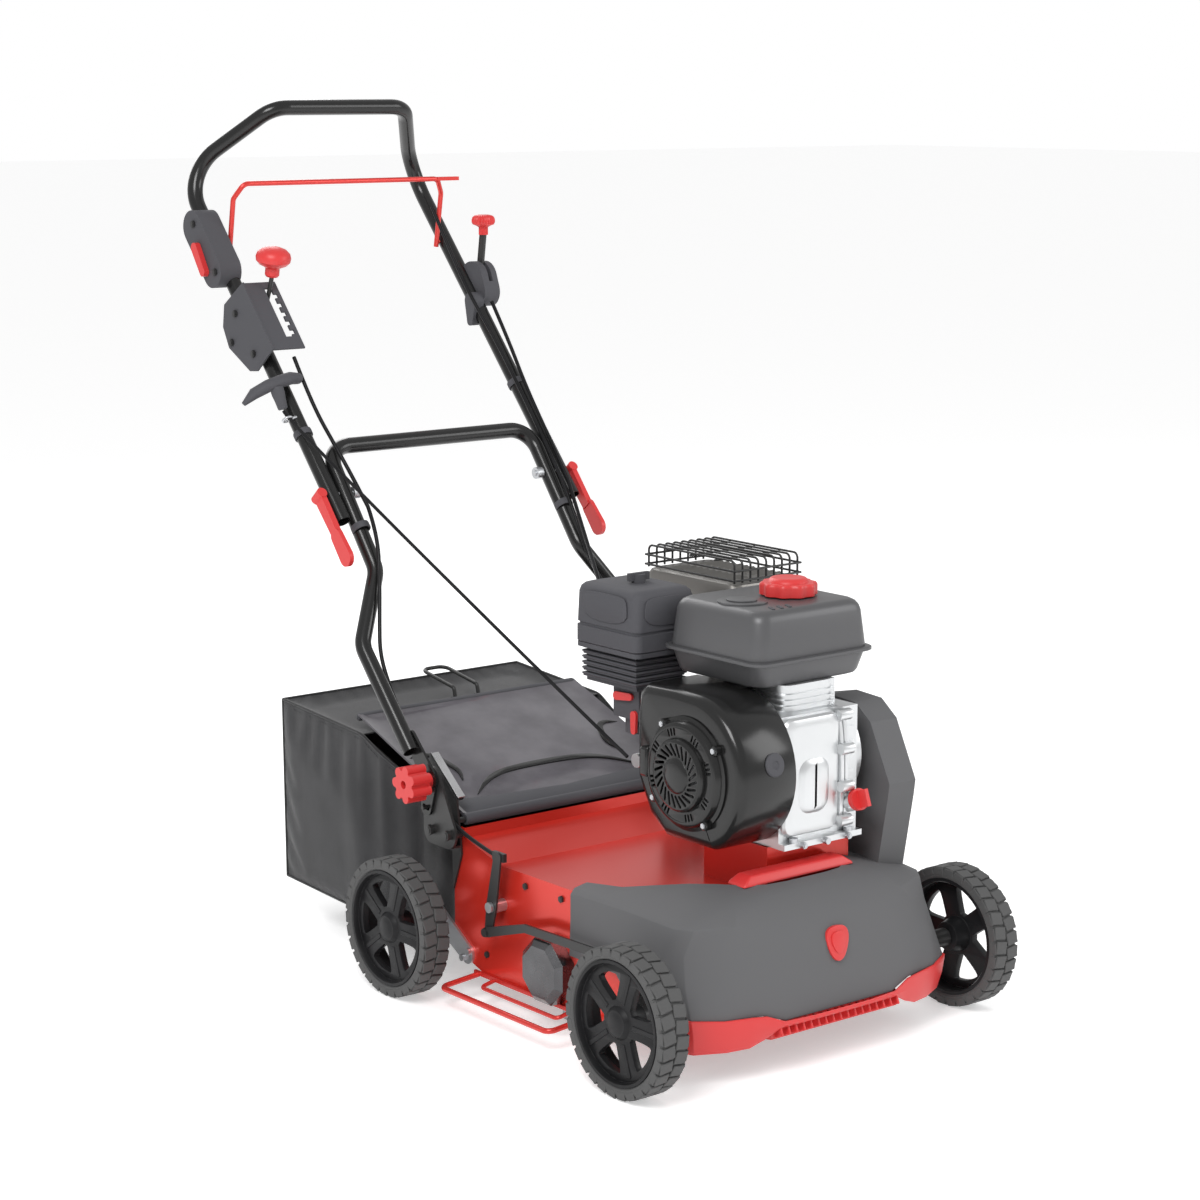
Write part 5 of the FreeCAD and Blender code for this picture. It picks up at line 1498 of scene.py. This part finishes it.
@dataclass
class Flap(Assembly):
    """The smoky discharge flap: a crowned panel with swept ribs and a black front roll."""

    half: float = 204.0
    axis_y: float = 218.0
    axis_z: float = 251.0
    length: float = 287.0
    slope: float = 20.4

    def at(self, across: float, along: float, lift: float) -> tuple[float, float, float]:
        """A place on the flap: across it, along it from the rod, and above its face."""
        a = math.radians(self.slope)
        return (across, self.axis_y + along * math.cos(a) - lift * math.sin(a),
                self.axis_z + along * math.sin(a) + lift * math.cos(a))

    def panel(self) -> bpy.types.Object:
        """The moulded panel, with a raised rim on its sides and rear.

        Returns:
            The panel.
        """
        rows, columns = 30, 40
        corners, faces = [], []
        for r in range(rows + 1):
            for c in range(columns + 1):
                s, t = c / columns, r / rows
                rim = min(1.0, min(s, 1 - s) * 16, (1 - t) * 12)
                crown = 3.2 * math.sin(math.pi * s) * math.sin(math.pi * min(1.0, t * 1.05)) * 0.6
                lift = crown + 4.5 * (1.0 - rim) ** 2
                corners.append(self.at(self.half * (2 * s - 1), 6.0 + (self.length - 6.0) * t, lift + 1.5))
        wide = columns + 1
        faces = [(r * wide + c, r * wide + c + 1, (r + 1) * wide + c + 1, (r + 1) * wide + c)
                 for r in range(rows) for c in range(columns)]
        made = piece_of("flap_panel", corners, faces, 60.0)
        shell = made.modifiers.new("thickness", "SOLIDIFY")
        shell.thickness, shell.offset = 2.6 * MM, 0.0
        return settled(made, 40.0)

    def roll(self) -> bpy.types.Object:
        """The barrel round the hinge rod, with the black front band.

        Returns:
            The roll and its band.
        """
        turn = Axis((0.0, self.axis_y, self.axis_z), (1.0, 0.0, 0.0))
        barrel = lathe("barrel", turn,
                       [(4.2, -self.half), (7.6, -self.half), (8.4, -self.half + 3), (8.4, self.half - 3),
                                        (7.6, self.half), (4.2, self.half)], 32, closed=True)
        band = [[self.at(x, along, lift) for x,
                 along in ((-self.half, 4), (-self.half + 6, 44), (-120, 36), (0, 30),
                                                           (120, 36), (self.half - 6, 44), (self.half, 4))]
                for lift in (0.2, 5.2)]
        return joined("flap_roll", [barrel, softened(loft("band", band), 1.6)])

    def rib(self, name: str, line: Flat, wide: float) -> bpy.types.Object:
        """A raised black rib along a line of (across, along), tapering at both ends.

        Args:
            name: the rib's name.
            line: its middle, from one end to the other.
            wide: half of its width at its middle.

        Returns:
            The rib.
        """
        left, right = [], []
        for k, (x, along) in enumerate(line):
            before, after = line[max(0, k - 1)], line[min(len(line) - 1, k + 1)]
            run = math.dist(before, after)
            half = 0.6 + wide * math.sin(math.pi * k / (len(line) - 1)) ** 0.6
            off = (-(after[1] - before[1]) / run * half, (after[0] - before[0]) / run * half)
            left.append((x + off[0], along + off[1]))
            right.append((x - off[0], along - off[1]))
        loop = smoothed(left + right[::-1], 2)
        rings = [[self.at(x, along, lift + 2.0 * math.sin(math.pi * (x / self.half + 1) / 2)) for x,
                  along in loop]
                 for lift in (0.5, 5.0)]
        return softened(loft(name, rings), 1.2)

    def build(self) -> None:
        """Adds the panel, its roll and ribs."""
        self.add(self.panel(), "flap", Palette.SMOKE, "flap")
        self.add(self.roll(), "flap", Palette.BLACK_PLASTIC)
        across = [(-150, 46), (-120, 70), (-92, 84), (-60, 90), (0, 92), (60, 90), (92, 84), (120, 70),
                  (150, 46)]
        hooks = [[(side * x, along) for x,
                  along in ((196, 158), (176, 166), (158, 158), (146, 132), (140, 108), (150, 84))]
                 for side in (-1, 1)]
        ribs = [self.rib("rib_across", across, 5.0)] + [self.rib(f"rib_hook_{k}", hook, 4.5) for k,
                                                        hook in enumerate(hooks)]
        self.add(joined("flap_ribs", ribs), "flap", Palette.GLOSS_BLACK)
        rear = softened(loft("flap_rear_bar", [[self.at(x, along, lift) for x, along in
                                               ((-self.half, self.length - 5), (self.half, self.length - 5),
                                                (self.half, self.length + 4), (-self.half, self.length + 4))]
                                               for lift in (-3.5, 7.5)]), 2.5, 3)
        self.add(rear, "flap", Palette.BLACK_PLASTIC)


# ---- front --------------------------------------------------------------------------------------
@dataclass
class Front(Assembly):
    """The faceted cowl, the red bumper under it, its comb of vents and the emblem."""

    half: float = 236.0

    def both(self, half_line: Sequence[Place]) -> Ring:
        """A line of places on the -X half, carried over to the other half."""
        return [tuple(p) for p in half_line] + [(-p[0], p[1], p[2]) for p in reversed(half_line)]

    def cowl(self) -> bpy.types.Object:
        """The cowl's skin, drawn from its lower edge up to its brow.

        Returns:
            The skin with its thickness.
        """
        rows = [
            [(-223, -46, 118), (-225, -150, 118), (-236, -188, 97), (-236, -286, 95), (-229, -308, 95),
             (-190, -327, 92),
             (-132, -338, 90), (-96, -343, 78)],
            [(-222, -46, 140), (-224, -110, 150), (-235, -190, 140), (-235, -262, 138), (-226, -292, 132),
             (-188, -318, 136),
             (-134, -333, 132), (-92, -340, 118)],
            [(-221, -46, 172), (-224, -104, 178), (-233, -180, 176), (-232, -248, 170), (-219, -280, 172),
             (-172, -306, 178),
             (-122, -326, 176), (-70, -336, 168)],
            [(-221, -46, 204), (-222, -104, 207), (-224, -176, 209), (-222, -262, 207), (-205, -284, 206),
             (-150, -302, 206),
             (-104, -314, 206), (-50, -322, 206)],
            [(-214, -46, 212), (-216, -104, 213), (-216, -178, 214), (-212, -244, 214), (-192, -270, 216),
             (-132, -282, 226),
             (-84, -288, 230), (-42, -292, 232)],
            [(-192, -46, 216), (-182, -110, 222), (-164, -150, 230), (-134, -190, 236), (-112, -224, 239),
             (-92, -252, 240),
             (-66, -268, 240), (-34, -272, 240)],
        ]
        made = loft("cowl_skin", [self.both(row) for row in rows], capped=False, crease=8.0)
        work = bmesh.new()
        work.from_mesh(made.data)
        wide = [f for f in work.faces if abs(f.normal.y) > 0.9 and f.calc_center_median().y > -0.05]
        bmesh.ops.delete(work, geom=wide, context="FACES")
        work.to_mesh(made.data)
        work.free()
        shell = made.modifiers.new("thickness", "SOLIDIFY")
        shell.thickness, shell.offset = 2.6 * MM, -1.0
        return softened(settled(made, 8.0), 2.2, 2)

    def bumper(self) -> bpy.types.Object:
        """The red bumper: full at both sides, drawn up to a thin band in the middle.

        Returns:
            The bumper.
        """
        upper = [(-236.5, -287, 96), (-230, -309, 96), (-191, -328.5, 93), (-150, -338, 92),
                 (-128, -341, 90), (-100, -345, 78.5),
                 (-50, -347, 77), (-20, -347.5, 77)]
        lower = [(-228, -287, 47.5), (-221, -303, 47.5), (-182, -322, 47.5), (-150, -331, 49),
                 (-128, -335, 57), (-104, -341, 70),
                 (-50, -344, 71), (-20, -344.5, 71)]
        rows = [[(x * (1 - t) + u * t, y * (1 - t) + v * t - 2.5 * math.sin(math.pi * t), z * (1 - t) + w * t)
                 for (x, y, z), (u, v, w) in zip(upper, lower)] for t in (0.0, 0.12, 0.5, 0.88, 1.0)]
        corners = [p for row in rows for p in self.both(row)]
        wide = 2 * len(upper)
        faces = [(a * wide + k, a * wide + k + 1, (a + 1) * wide + k + 1, (a + 1) * wide + k)
                 for a in range(len(rows) - 1) for k in range(wide - 1)]
        made = piece_of("bumper", corners, faces, 40.0)
        shell = made.modifiers.new("thickness", "SOLIDIFY")
        shell.thickness, shell.offset = 3.0 * MM, 0.0
        return softened(settled(made, 40.0), 1.0)

    def emblem(self) -> bpy.types.Object:
        """A plain rounded lozenge with a smaller raised crown.

        Returns:
            The emblem.
        """
        lean = Matrix(((1, 0, 0, 0), (0, 0.16, -0.987, 0), (0, 0.987, 0.16, 0), (0, 0, 0, 1)))
        frame_of = Matrix.Translation((0, -332.5, 163)) @ lean
        shape = smoothed([(-22, 6), (-15, 23), (15, 23), (22, 6), (9, -24), (-9, -24)], 2)
        inner = [(0.62 * u, 0.62 * v + 1) for u, v in shape]
        return joined("emblem",
                      [plate("lens", [shape], 0.0, 6.0, frame_of, 1.8),
                       plate("crown", [inner], 5.0, 8.0, frame_of, 1.2)])

    def build(self) -> None:
        """Adds the cowl, bumper, comb and emblem."""
        self.add(self.cowl(), "deck", Palette.GREY_PLASTIC, "front_cowl")
        self.add(self.bumper(), "deck", Palette.RED_PLASTIC, "bumper_trim")
        self.add_slats("bumper_comb", "deck", Palette.RED_PLASTIC,
                       [Spot((13.2 * k, -336.0, 64.0), (0.0, -0.45, -1.0), (0, 1, -0.45)) for k in range(-8,
                                                                                                         9)],
                       (20.0, 3.2, 17.0), 1.0)
        rail = [[(x, y, z) for x,
                 y in ((-118, -327), (-114, -334), (114, -334), (118, -327))] for z in (53.0, 74.0)]
        self.add(loft("comb_back", rail), "deck", Palette.RED_PLASTIC)
        self.add(self.emblem(), "deck", Palette.RED_PLASTIC, "front_reflector")
        lug = [[(-100 + g, -263 + g * 0.4, z), (-100 + g, -227 - g * 0.3, z), (100 - g, -227 - g * 0.3, z),
                (100 - g, -263 + g * 0.4, z)] for z, g in ((238, 0), (242, 3), (249, 13), (251.5, 17))]
        self.add(softened(loft("lifting_lug", lug), 2.5, 3), "deck", Palette.RED_PLASTIC, "carry_handle")


# ---- cords --------------------------------------------------------------------------------------
@dataclass
class Handlebar(Assembly):
    """Cords that follow the handlebar, its grips and small hardware."""

    pivot: tuple[float, float] = (532.0, 682.0)
    slope: float = 48.9
    cable: float = 3.0
    rope: float = 2.5

    def beside(self, x: float, distance: float, lift: float) -> tuple[float, float, float]:
        """A place at x, a distance up the handlebar from its fold, and lift in front of the tube."""
        c, s = math.cos(math.radians(self.slope)), math.sin(math.radians(self.slope))
        return (x, self.pivot[0] + distance * c - lift * s, self.pivot[1] + distance * s + lift * c)

    def routes(self) -> dict[str, tuple[list[Place], list[Place]]]:
        """Each cable's stretch along the upper bow, and its stretch down to the deck.

        Returns:
            The two stretches of each cable, by name.
        """
        at = self.beside
        return {
            "depth_cable": ([at(-192, 230, 30), at(-192, 190, 26), at(-190, 130, 21), at(-187, 78, 23),
                             at(-181, 20, 22), at(-178, -40, 22)],
                            [at(-178, -40, 22), at(-184, -92, 22), (-204, 423, 560), (-221, 400, 507),
                             (-231, 385, 468),
                             (-232, 362, 426), (-231, 330, 382), (-230, 292, 335), (-229, 262, 290),
                             (-227, 225, 256),
                             (-229, 180, 238), (-230, 114, 226.6)]),
            "throttle_cable": ([at(226, 316, 22), at(222, 240, 21), at(212, 150, 20), at(208, 60, 20),
                                at(202, -30, 22)],
                               [at(202, -30, 22), (176, 430, 616), (132, 340, 560), (82, 240, 500),
                                (40, 160, 462),
                                (3, 68, 436)]),
            "bail_cable": ([at(187, 500, 38), at(190, 400, 25), at(190, 320, 22), at(199, 240, 20),
                            at(196, 60, 21),
                            at(190, -30, 22)],
                           [at(190, -30, 22), at(184, -86, 22), (188, 434, 570), (206, 400, 505),
                            (220, 372, 440),
                            (220, 322, 384), (214, 262, 356), (207, 200, 346), (204, 140, 330),
                            (200, 90, 304),
                            (192, 40, 290), (190, -10, 288)]),
        }

    def cords(self) -> None:
        """Lays the cables and the starter rope, each in an upper and a lower stretch."""
        replaced = "control_cables"
        fold_top, fold_low = self.beside(0, 60, 0), self.beside(0, -60, 0)
        for label, (upper, lower) in self.routes().items():
            high = self.dressed(cord_mesh(f"{label}.upper", upper, self.cable), Palette.SHEATH)
            low = self.dressed(cord_mesh(f"{label}.lower", lower, self.cable), Palette.SHEATH)
            self.metres(fold_top)
            self.metres(fold_low)
            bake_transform(high)
            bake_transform(low)
            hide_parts(replaced)
        eye, hub = (-238.5, 609.5, 789.0), (-136.0, -64.0, 385.0)
        middle = tuple(a + (b - a) * 0.35 for a, b in zip(eye, hub))
        sag = (middle[0], middle[1], middle[2] - 2.0)
        rope_high = self.dressed(cord_mesh("rope.upper", [(-240, 617, 801), eye, sag], self.rope), Palette.ROPE)
        halfway = tuple((a + b) / 2 - (2.0 if k == 2 else 0.0) for k, (a, b) in enumerate(zip(sag, hub)))
        rope_low = self.dressed(cord_mesh("rope.lower", [sag, halfway, hub], self.rope), Palette.ROPE)
        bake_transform(rope_high)
        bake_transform(rope_low)
        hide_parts("starter_rope")

    @staticmethod
    def metres(place: Place) -> tuple[float, float, float]:
        """A place in metres."""
        return tuple(c * MM for c in place)

    def dressed(self, made: bpy.types.Object, finish: Palette) -> bpy.types.Object:
        """A piece with its finish and slot, not yet on a body.

        Args:
            made: the piece.
            finish: its finish.

        Returns:
            The same piece.
        """
        made.data.materials.clear()
        made.data.materials.append(finish.value.material(finish.name.lower()))
        LOG.info("%s dressed: %d faces", made.name, len(made.data.polygons))
        return made

    def clips(self) -> None:
        """Bands that hold the cables to the tubes."""
        bands = [("clip_upper_right", "upper_handle", -214.5, 110),
                 ("clip_upper_left", "upper_handle", 214.5, 170),
                 ("clip_lower_right", "lower_handle", -190, -62),
                 ("clip_lower_left", "lower_handle", 190, -62)]
        for name, body, x, distance in bands:
            way = Vector(self.beside(0, 1, 0)) - Vector(self.beside(0, 0, 0))
            band = lathe(name, Axis(self.beside(x, distance, 0), tuple(way)),
                         [(12.2, -5), (14, -5), (14.4, -3.5), (14.4, 3.5),
                                                                               (14, 5), (12.2, 5)], 32,
                                                                               closed=True)
            self.add(band, body, Palette.BLACK_PLASTIC)

    def knobs(self) -> None:
        """The depth lever's mushroom knob and the throttle's ribbed one, on their stems."""
        crown, waist = Vector(self.beside(-194, 371, 88)), Vector(self.beside(-194, 338, 46))
        way = (crown - waist).normalized()
        pivot = self.beside(-194, 312, -38)
        mushroom = lathe("depth_knob", Axis(tuple(crown), tuple(way)),
                         [(0, 19), (10, 18.2), (19, 15), (25, 9.5), (27, 3), (26, -3), (21, -8.5),
                          (14, -11.5), (11, -14),
                          (11, -24), (9, -27), (0, -27)], 56)
        stem = cord_mesh("depth_stem", [pivot, tuple(waist), tuple(crown - way * 20)], 3.5)
        hub = lathe("depth_hub", Axis((-194, pivot[1], pivot[2])), [(4.1, -4), (8, -4), (8, 4), (4.1, 4)],
                    28, closed=True)
        self.add(mushroom, "depth_lever", Palette.RED_PLASTIC, "depth_lever")
        self.add(joined("depth_shaft", [stem, hub]), "depth_lever", Palette.SATIN_BLACK)
        tip, centre = self.beside(230.5, 420, 76), self.beside(230.5, 367, 14)
        loop = [((18.2 + 0.8 * math.cos(24 * a)) * math.cos(a), (18.2 + 0.8 * math.cos(24 * a)) * math.sin(a))
                for a in (2 * math.pi * k / 144 for k in range(144))]
        rings = [[(tip[0] + m * u, tip[1] + m * v, tip[2] + z) for u, v in loop]
                 for m,
                 z in ((0.40, -8), (0.40, 4), (0.62, 6.5), (0.90, 8.5), (1.0, 12), (1.0, 16), (0.93, 20),
                       (0.78, 22.6),
                              (0.5, 24), (0.02, 24.4))]
        self.add(loft("throttle_knob", rings), "throttle_lever", Palette.RED_PLASTIC, "throttle_lever")
        arm = plate("throttle_arm", [[(u + 7 * math.cos(a), v + 7 * math.sin(a)) for u, v, a in
                                      [(centre[1], centre[2],
                                        math.radians(188.4 + 180 * k / 8)) for k in range(9)]
                                      + [(tip[1], tip[2],
                                          math.radians(8.4 + 180 * k / 8)) for k in range(9)]]],
                    228.2, 232.8, Matrix(((0, 0, 1, 0), (1, 0, 0, 0), (0, 1, 0, 0), (0, 0, 0, 1))), 0.8)
        self.add(arm, "throttle_lever", Palette.SATIN_BLACK)

    def grip(self) -> bpy.types.Object:
        """The starter's curved T-grip with its stem.

        Returns:
            The grip.
        """
        line = [Vector(p) for p in ((-292, 645, 812), (-276, 641, 827), (-256, 633, 838), (-236, 630, 844),
                                    (-216, 634, 847),
                                    (-200, 640, 845), (-194, 643, 841))]
        rings = []
        for k, middle in enumerate(line):
            before, after = line[max(0, k - 1)], line[min(len(line) - 1, k + 1)]
            turn = (after - before).to_track_quat("Z", "Y").to_matrix()
            fat = (0.35, 0.92, 1.0, 1.0, 1.0, 0.92, 0.35)[k]
            rings.append([tuple(middle + turn @ Vector((11.5 * fat * math.cos(a), 9.5 * fat * math.sin(a),
                                                        0)))
                          for a in (2 * math.pi * n / 24 for n in range(24))])
        bar = loft("bar", rings)
        way = Vector((-245, 629.5, 838)) - Vector((-240, 617, 801))
        stem = lathe("stem", Axis((-240, 618, 803.5), tuple(way)),
                     [(0, 0), (6.5, 0), (7.5, 2), (8.5, 14), (10, 24), (10, 34), (0, 36)],
                     32)
        return joined("t_grip", [bar, stem])

    def hardware(self) -> None:
        """Bolt heads on the switch box, gate, brackets and levers, and painted highlight strips along the
        brackets' top edges.
        """
        right, left = (-1.0, 0.0, 0.0), (1.0, 0.0, 0.0)
        at = self.beside
        self.add_studs("handle_bolts", "upper_handle", Palette.SATIN_BLACK,
                       [Spot(at(-243.5, 505, 8), right), Spot(at(-243.5, 412, 8), right),
                        Spot(at(-236.0, 312, -38), right),
                        Spot(at(-236.0, 262, 0), right), Spot(at(-236.0, 338, 0), right)], 5.5, 5.0)
        self.add_studs("throttle_bolts", "upper_handle", Palette.SATIN_BLACK,
                       [Spot(at(245.5, 367, 14), left), Spot(at(245.5, 345, 12), left)], 5.5, 4.0)
        self.add_studs("bracket_bolts", "deck", Palette.SATIN_BLACK,
                       [Spot((side * 244.5, y, 236.0), (side, 0, 0)) for side in (-1, 1) for y in (206,
                                                                                                   248)],
                                                                                                   8.0, 5.0)
        self.add_studs("deck_bolts", "deck", Palette.SATIN_BLACK,
                       [Spot((side * 216.5, y, z), (side, 0, 0)) for side in (-1, 1)
                        for y, z in ((-20, 190), (60, 190), (190, 60), (150, 70))], 5.0, 3.0)
        # Painted highlight: thin bright strips laid along the satin black brackets' top edges, standing in for
        # the light they catch.
        edge = [Vector((-211, 216, 283)), Vector((-211, 281, 336))]
        middle = (edge[0] + edge[1]) / 2
        spots = [Spot((side * abs(middle.x), middle.y - 1.6, middle.z + 2.0), (0, -0.63, 0.77),
                      (0, 0.77, 0.63))
                 for side in (-1, 1)]
        self.add_slats("bracket_edges", "deck", Palette.BRIGHT_EDGE, spots, (84.0, 13.0, 1.6), 0.5)

    def build(self) -> None:
        """Adds cords, clips, grips and hardware."""
        self.cords()
        self.clips()
        self.knobs()
        self.add(self.grip(), "starter_grip", Palette.BLACK_PLASTIC, "starter_grip")
        self.hardware()


# ---- scene --------------------------------------------------------------------------------------
@dataclass
class Studio:
    """Camera, floor and soft light."""

    eye: tuple[float, float, float] = (-2.4928, -2.9361, 1.2810)
    azimuth: float = -38.8
    elevation: float = 10.38
    lens: float = 84.69
    surround: float = 0.62
    floor_glow: float = 0.42
    floor_reach: float = 40.0

    def camera(self) -> None:
        """The camera at the viewing angle."""
        a, e = math.radians(self.azimuth), math.radians(self.elevation)
        look = Vector((-math.sin(a) * math.cos(e), math.cos(a) * math.cos(e), -math.sin(e)))
        data = bpy.data.cameras.new("camera")
        data.lens, data.sensor_width, data.clip_end = self.lens, 36.0, 100.0
        made = bpy.data.objects.new("camera", data)
        made.location = self.eye
        made.rotation_mode = "QUATERNION"
        made.rotation_quaternion = look.to_track_quat("-Z", "Y")
        bpy.context.scene.collection.objects.link(made)
        bpy.context.scene.camera = made

    def floor(self) -> None:
        """A wide pale floor."""
        mesh = bpy.data.meshes.new("floor")
        reach = self.floor_reach
        mesh.from_pydata([(-reach, -reach, 0), (reach, -reach, 0), (reach, reach, 0), (-reach, reach, 0)], [],
                         [(0, 1, 2, 3)])
        made = bpy.data.objects.new("floor", mesh)
        pale = bpy.data.materials.new("floor")
        pale.use_nodes = True
        shader = pale.node_tree.nodes["Principled BSDF"]
        shader.inputs["Base Color"].default_value = (0.86, 0.86, 0.86, 1.0)
        shader.inputs["Roughness"].default_value = 0.9
        shader.inputs["Emission Color"].default_value = (1.0, 1.0, 1.0, 1.0)
        shader.inputs["Emission Strength"].default_value = self.floor_glow
        mesh.materials.append(pale)
        bpy.context.scene.collection.objects.link(made)

    def lights(self) -> None:
        """A pale surround and three large soft lights."""
        world = bpy.data.worlds.new("surround")
        world.use_nodes = True
        back = world.node_tree.nodes["Background"]
        back.inputs["Color"].default_value = (1.0, 1.0, 1.0, 1.0)
        back.inputs["Strength"].default_value = self.surround
        seen = world.node_tree.nodes.new("ShaderNodeBackground")
        seen.inputs["Color"].default_value = (1.0, 1.0, 1.0, 1.0)
        seen.inputs["Strength"].default_value = 1.0
        path = world.node_tree.nodes.new("ShaderNodeLightPath")
        mix = world.node_tree.nodes.new("ShaderNodeMixShader")
        world.node_tree.links.new(path.outputs["Is Camera Ray"], mix.inputs[0])
        world.node_tree.links.new(back.outputs[0], mix.inputs[1])
        world.node_tree.links.new(seen.outputs[0], mix.inputs[2])
        world.node_tree.links.new(mix.outputs[0], world.node_tree.nodes["World Output"].inputs["Surface"])
        bpy.context.scene.world = world
        bpy.context.scene.view_settings.view_transform = "Standard"
        for name, place, size, power in (("key", (-2.6, -1.6, 3.4), 1.8, 110.0),
                                         ("fill", (3.0, -2.6, 2.2), 2.0, 45.0),
                                         ("rim", (0.6, 3.4, 2.6), 2.4, 60.0)):
            data = bpy.data.lights.new(name, "AREA")
            data.shape, data.size, data.energy = "SQUARE", size, power
            made = bpy.data.objects.new(name, data)
            made.location = place
            made.rotation_mode = "QUATERNION"
            made.rotation_quaternion = (Vector((0, 0, 0.5)) - Vector(place)).to_track_quat("-Z", "Y")
            bpy.context.scene.collection.objects.link(made)

    def build(self) -> None:
        """Sets up camera, floor and lights."""
        self.camera()
        self.floor()
        self.lights()


def dress_frame() -> None:
    """Gives every solid that is carried over its finish."""
    for finish, names in CAD_FINISHES.items():
        material = finish.value.material(finish.name.lower())
        for name in names.split():
            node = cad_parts[name]
            if node.material_slots:
                for socket in node.material_slots:
                    socket.material = material
            else:
                node.data.materials.append(material)


def main() -> None:
    """Builds the scene in order."""
    logging.basicConfig(level=logging.INFO, format="%(name)s: %(message)s")
    Studio().build()
    dress_frame()
    Assembly.make_trees()
    Handlebar().build()
    for name, side, outer_x, axle_y in (("front_left_wheel", 1, 322.0, -263.0),
                                        ("front_right_wheel", -1, 322.0, -263.0),
                                        ("rear_left_wheel", 1, 314.0, 263.0),
                                        ("rear_right_wheel", -1, 314.0, 263.0)):
        Wheel(name, side, outer_x, axle_y).build()
    Front().build()
    Engine().build()
    Flap().build()
    Bag().build()


if __name__ == "__main__":
    main()
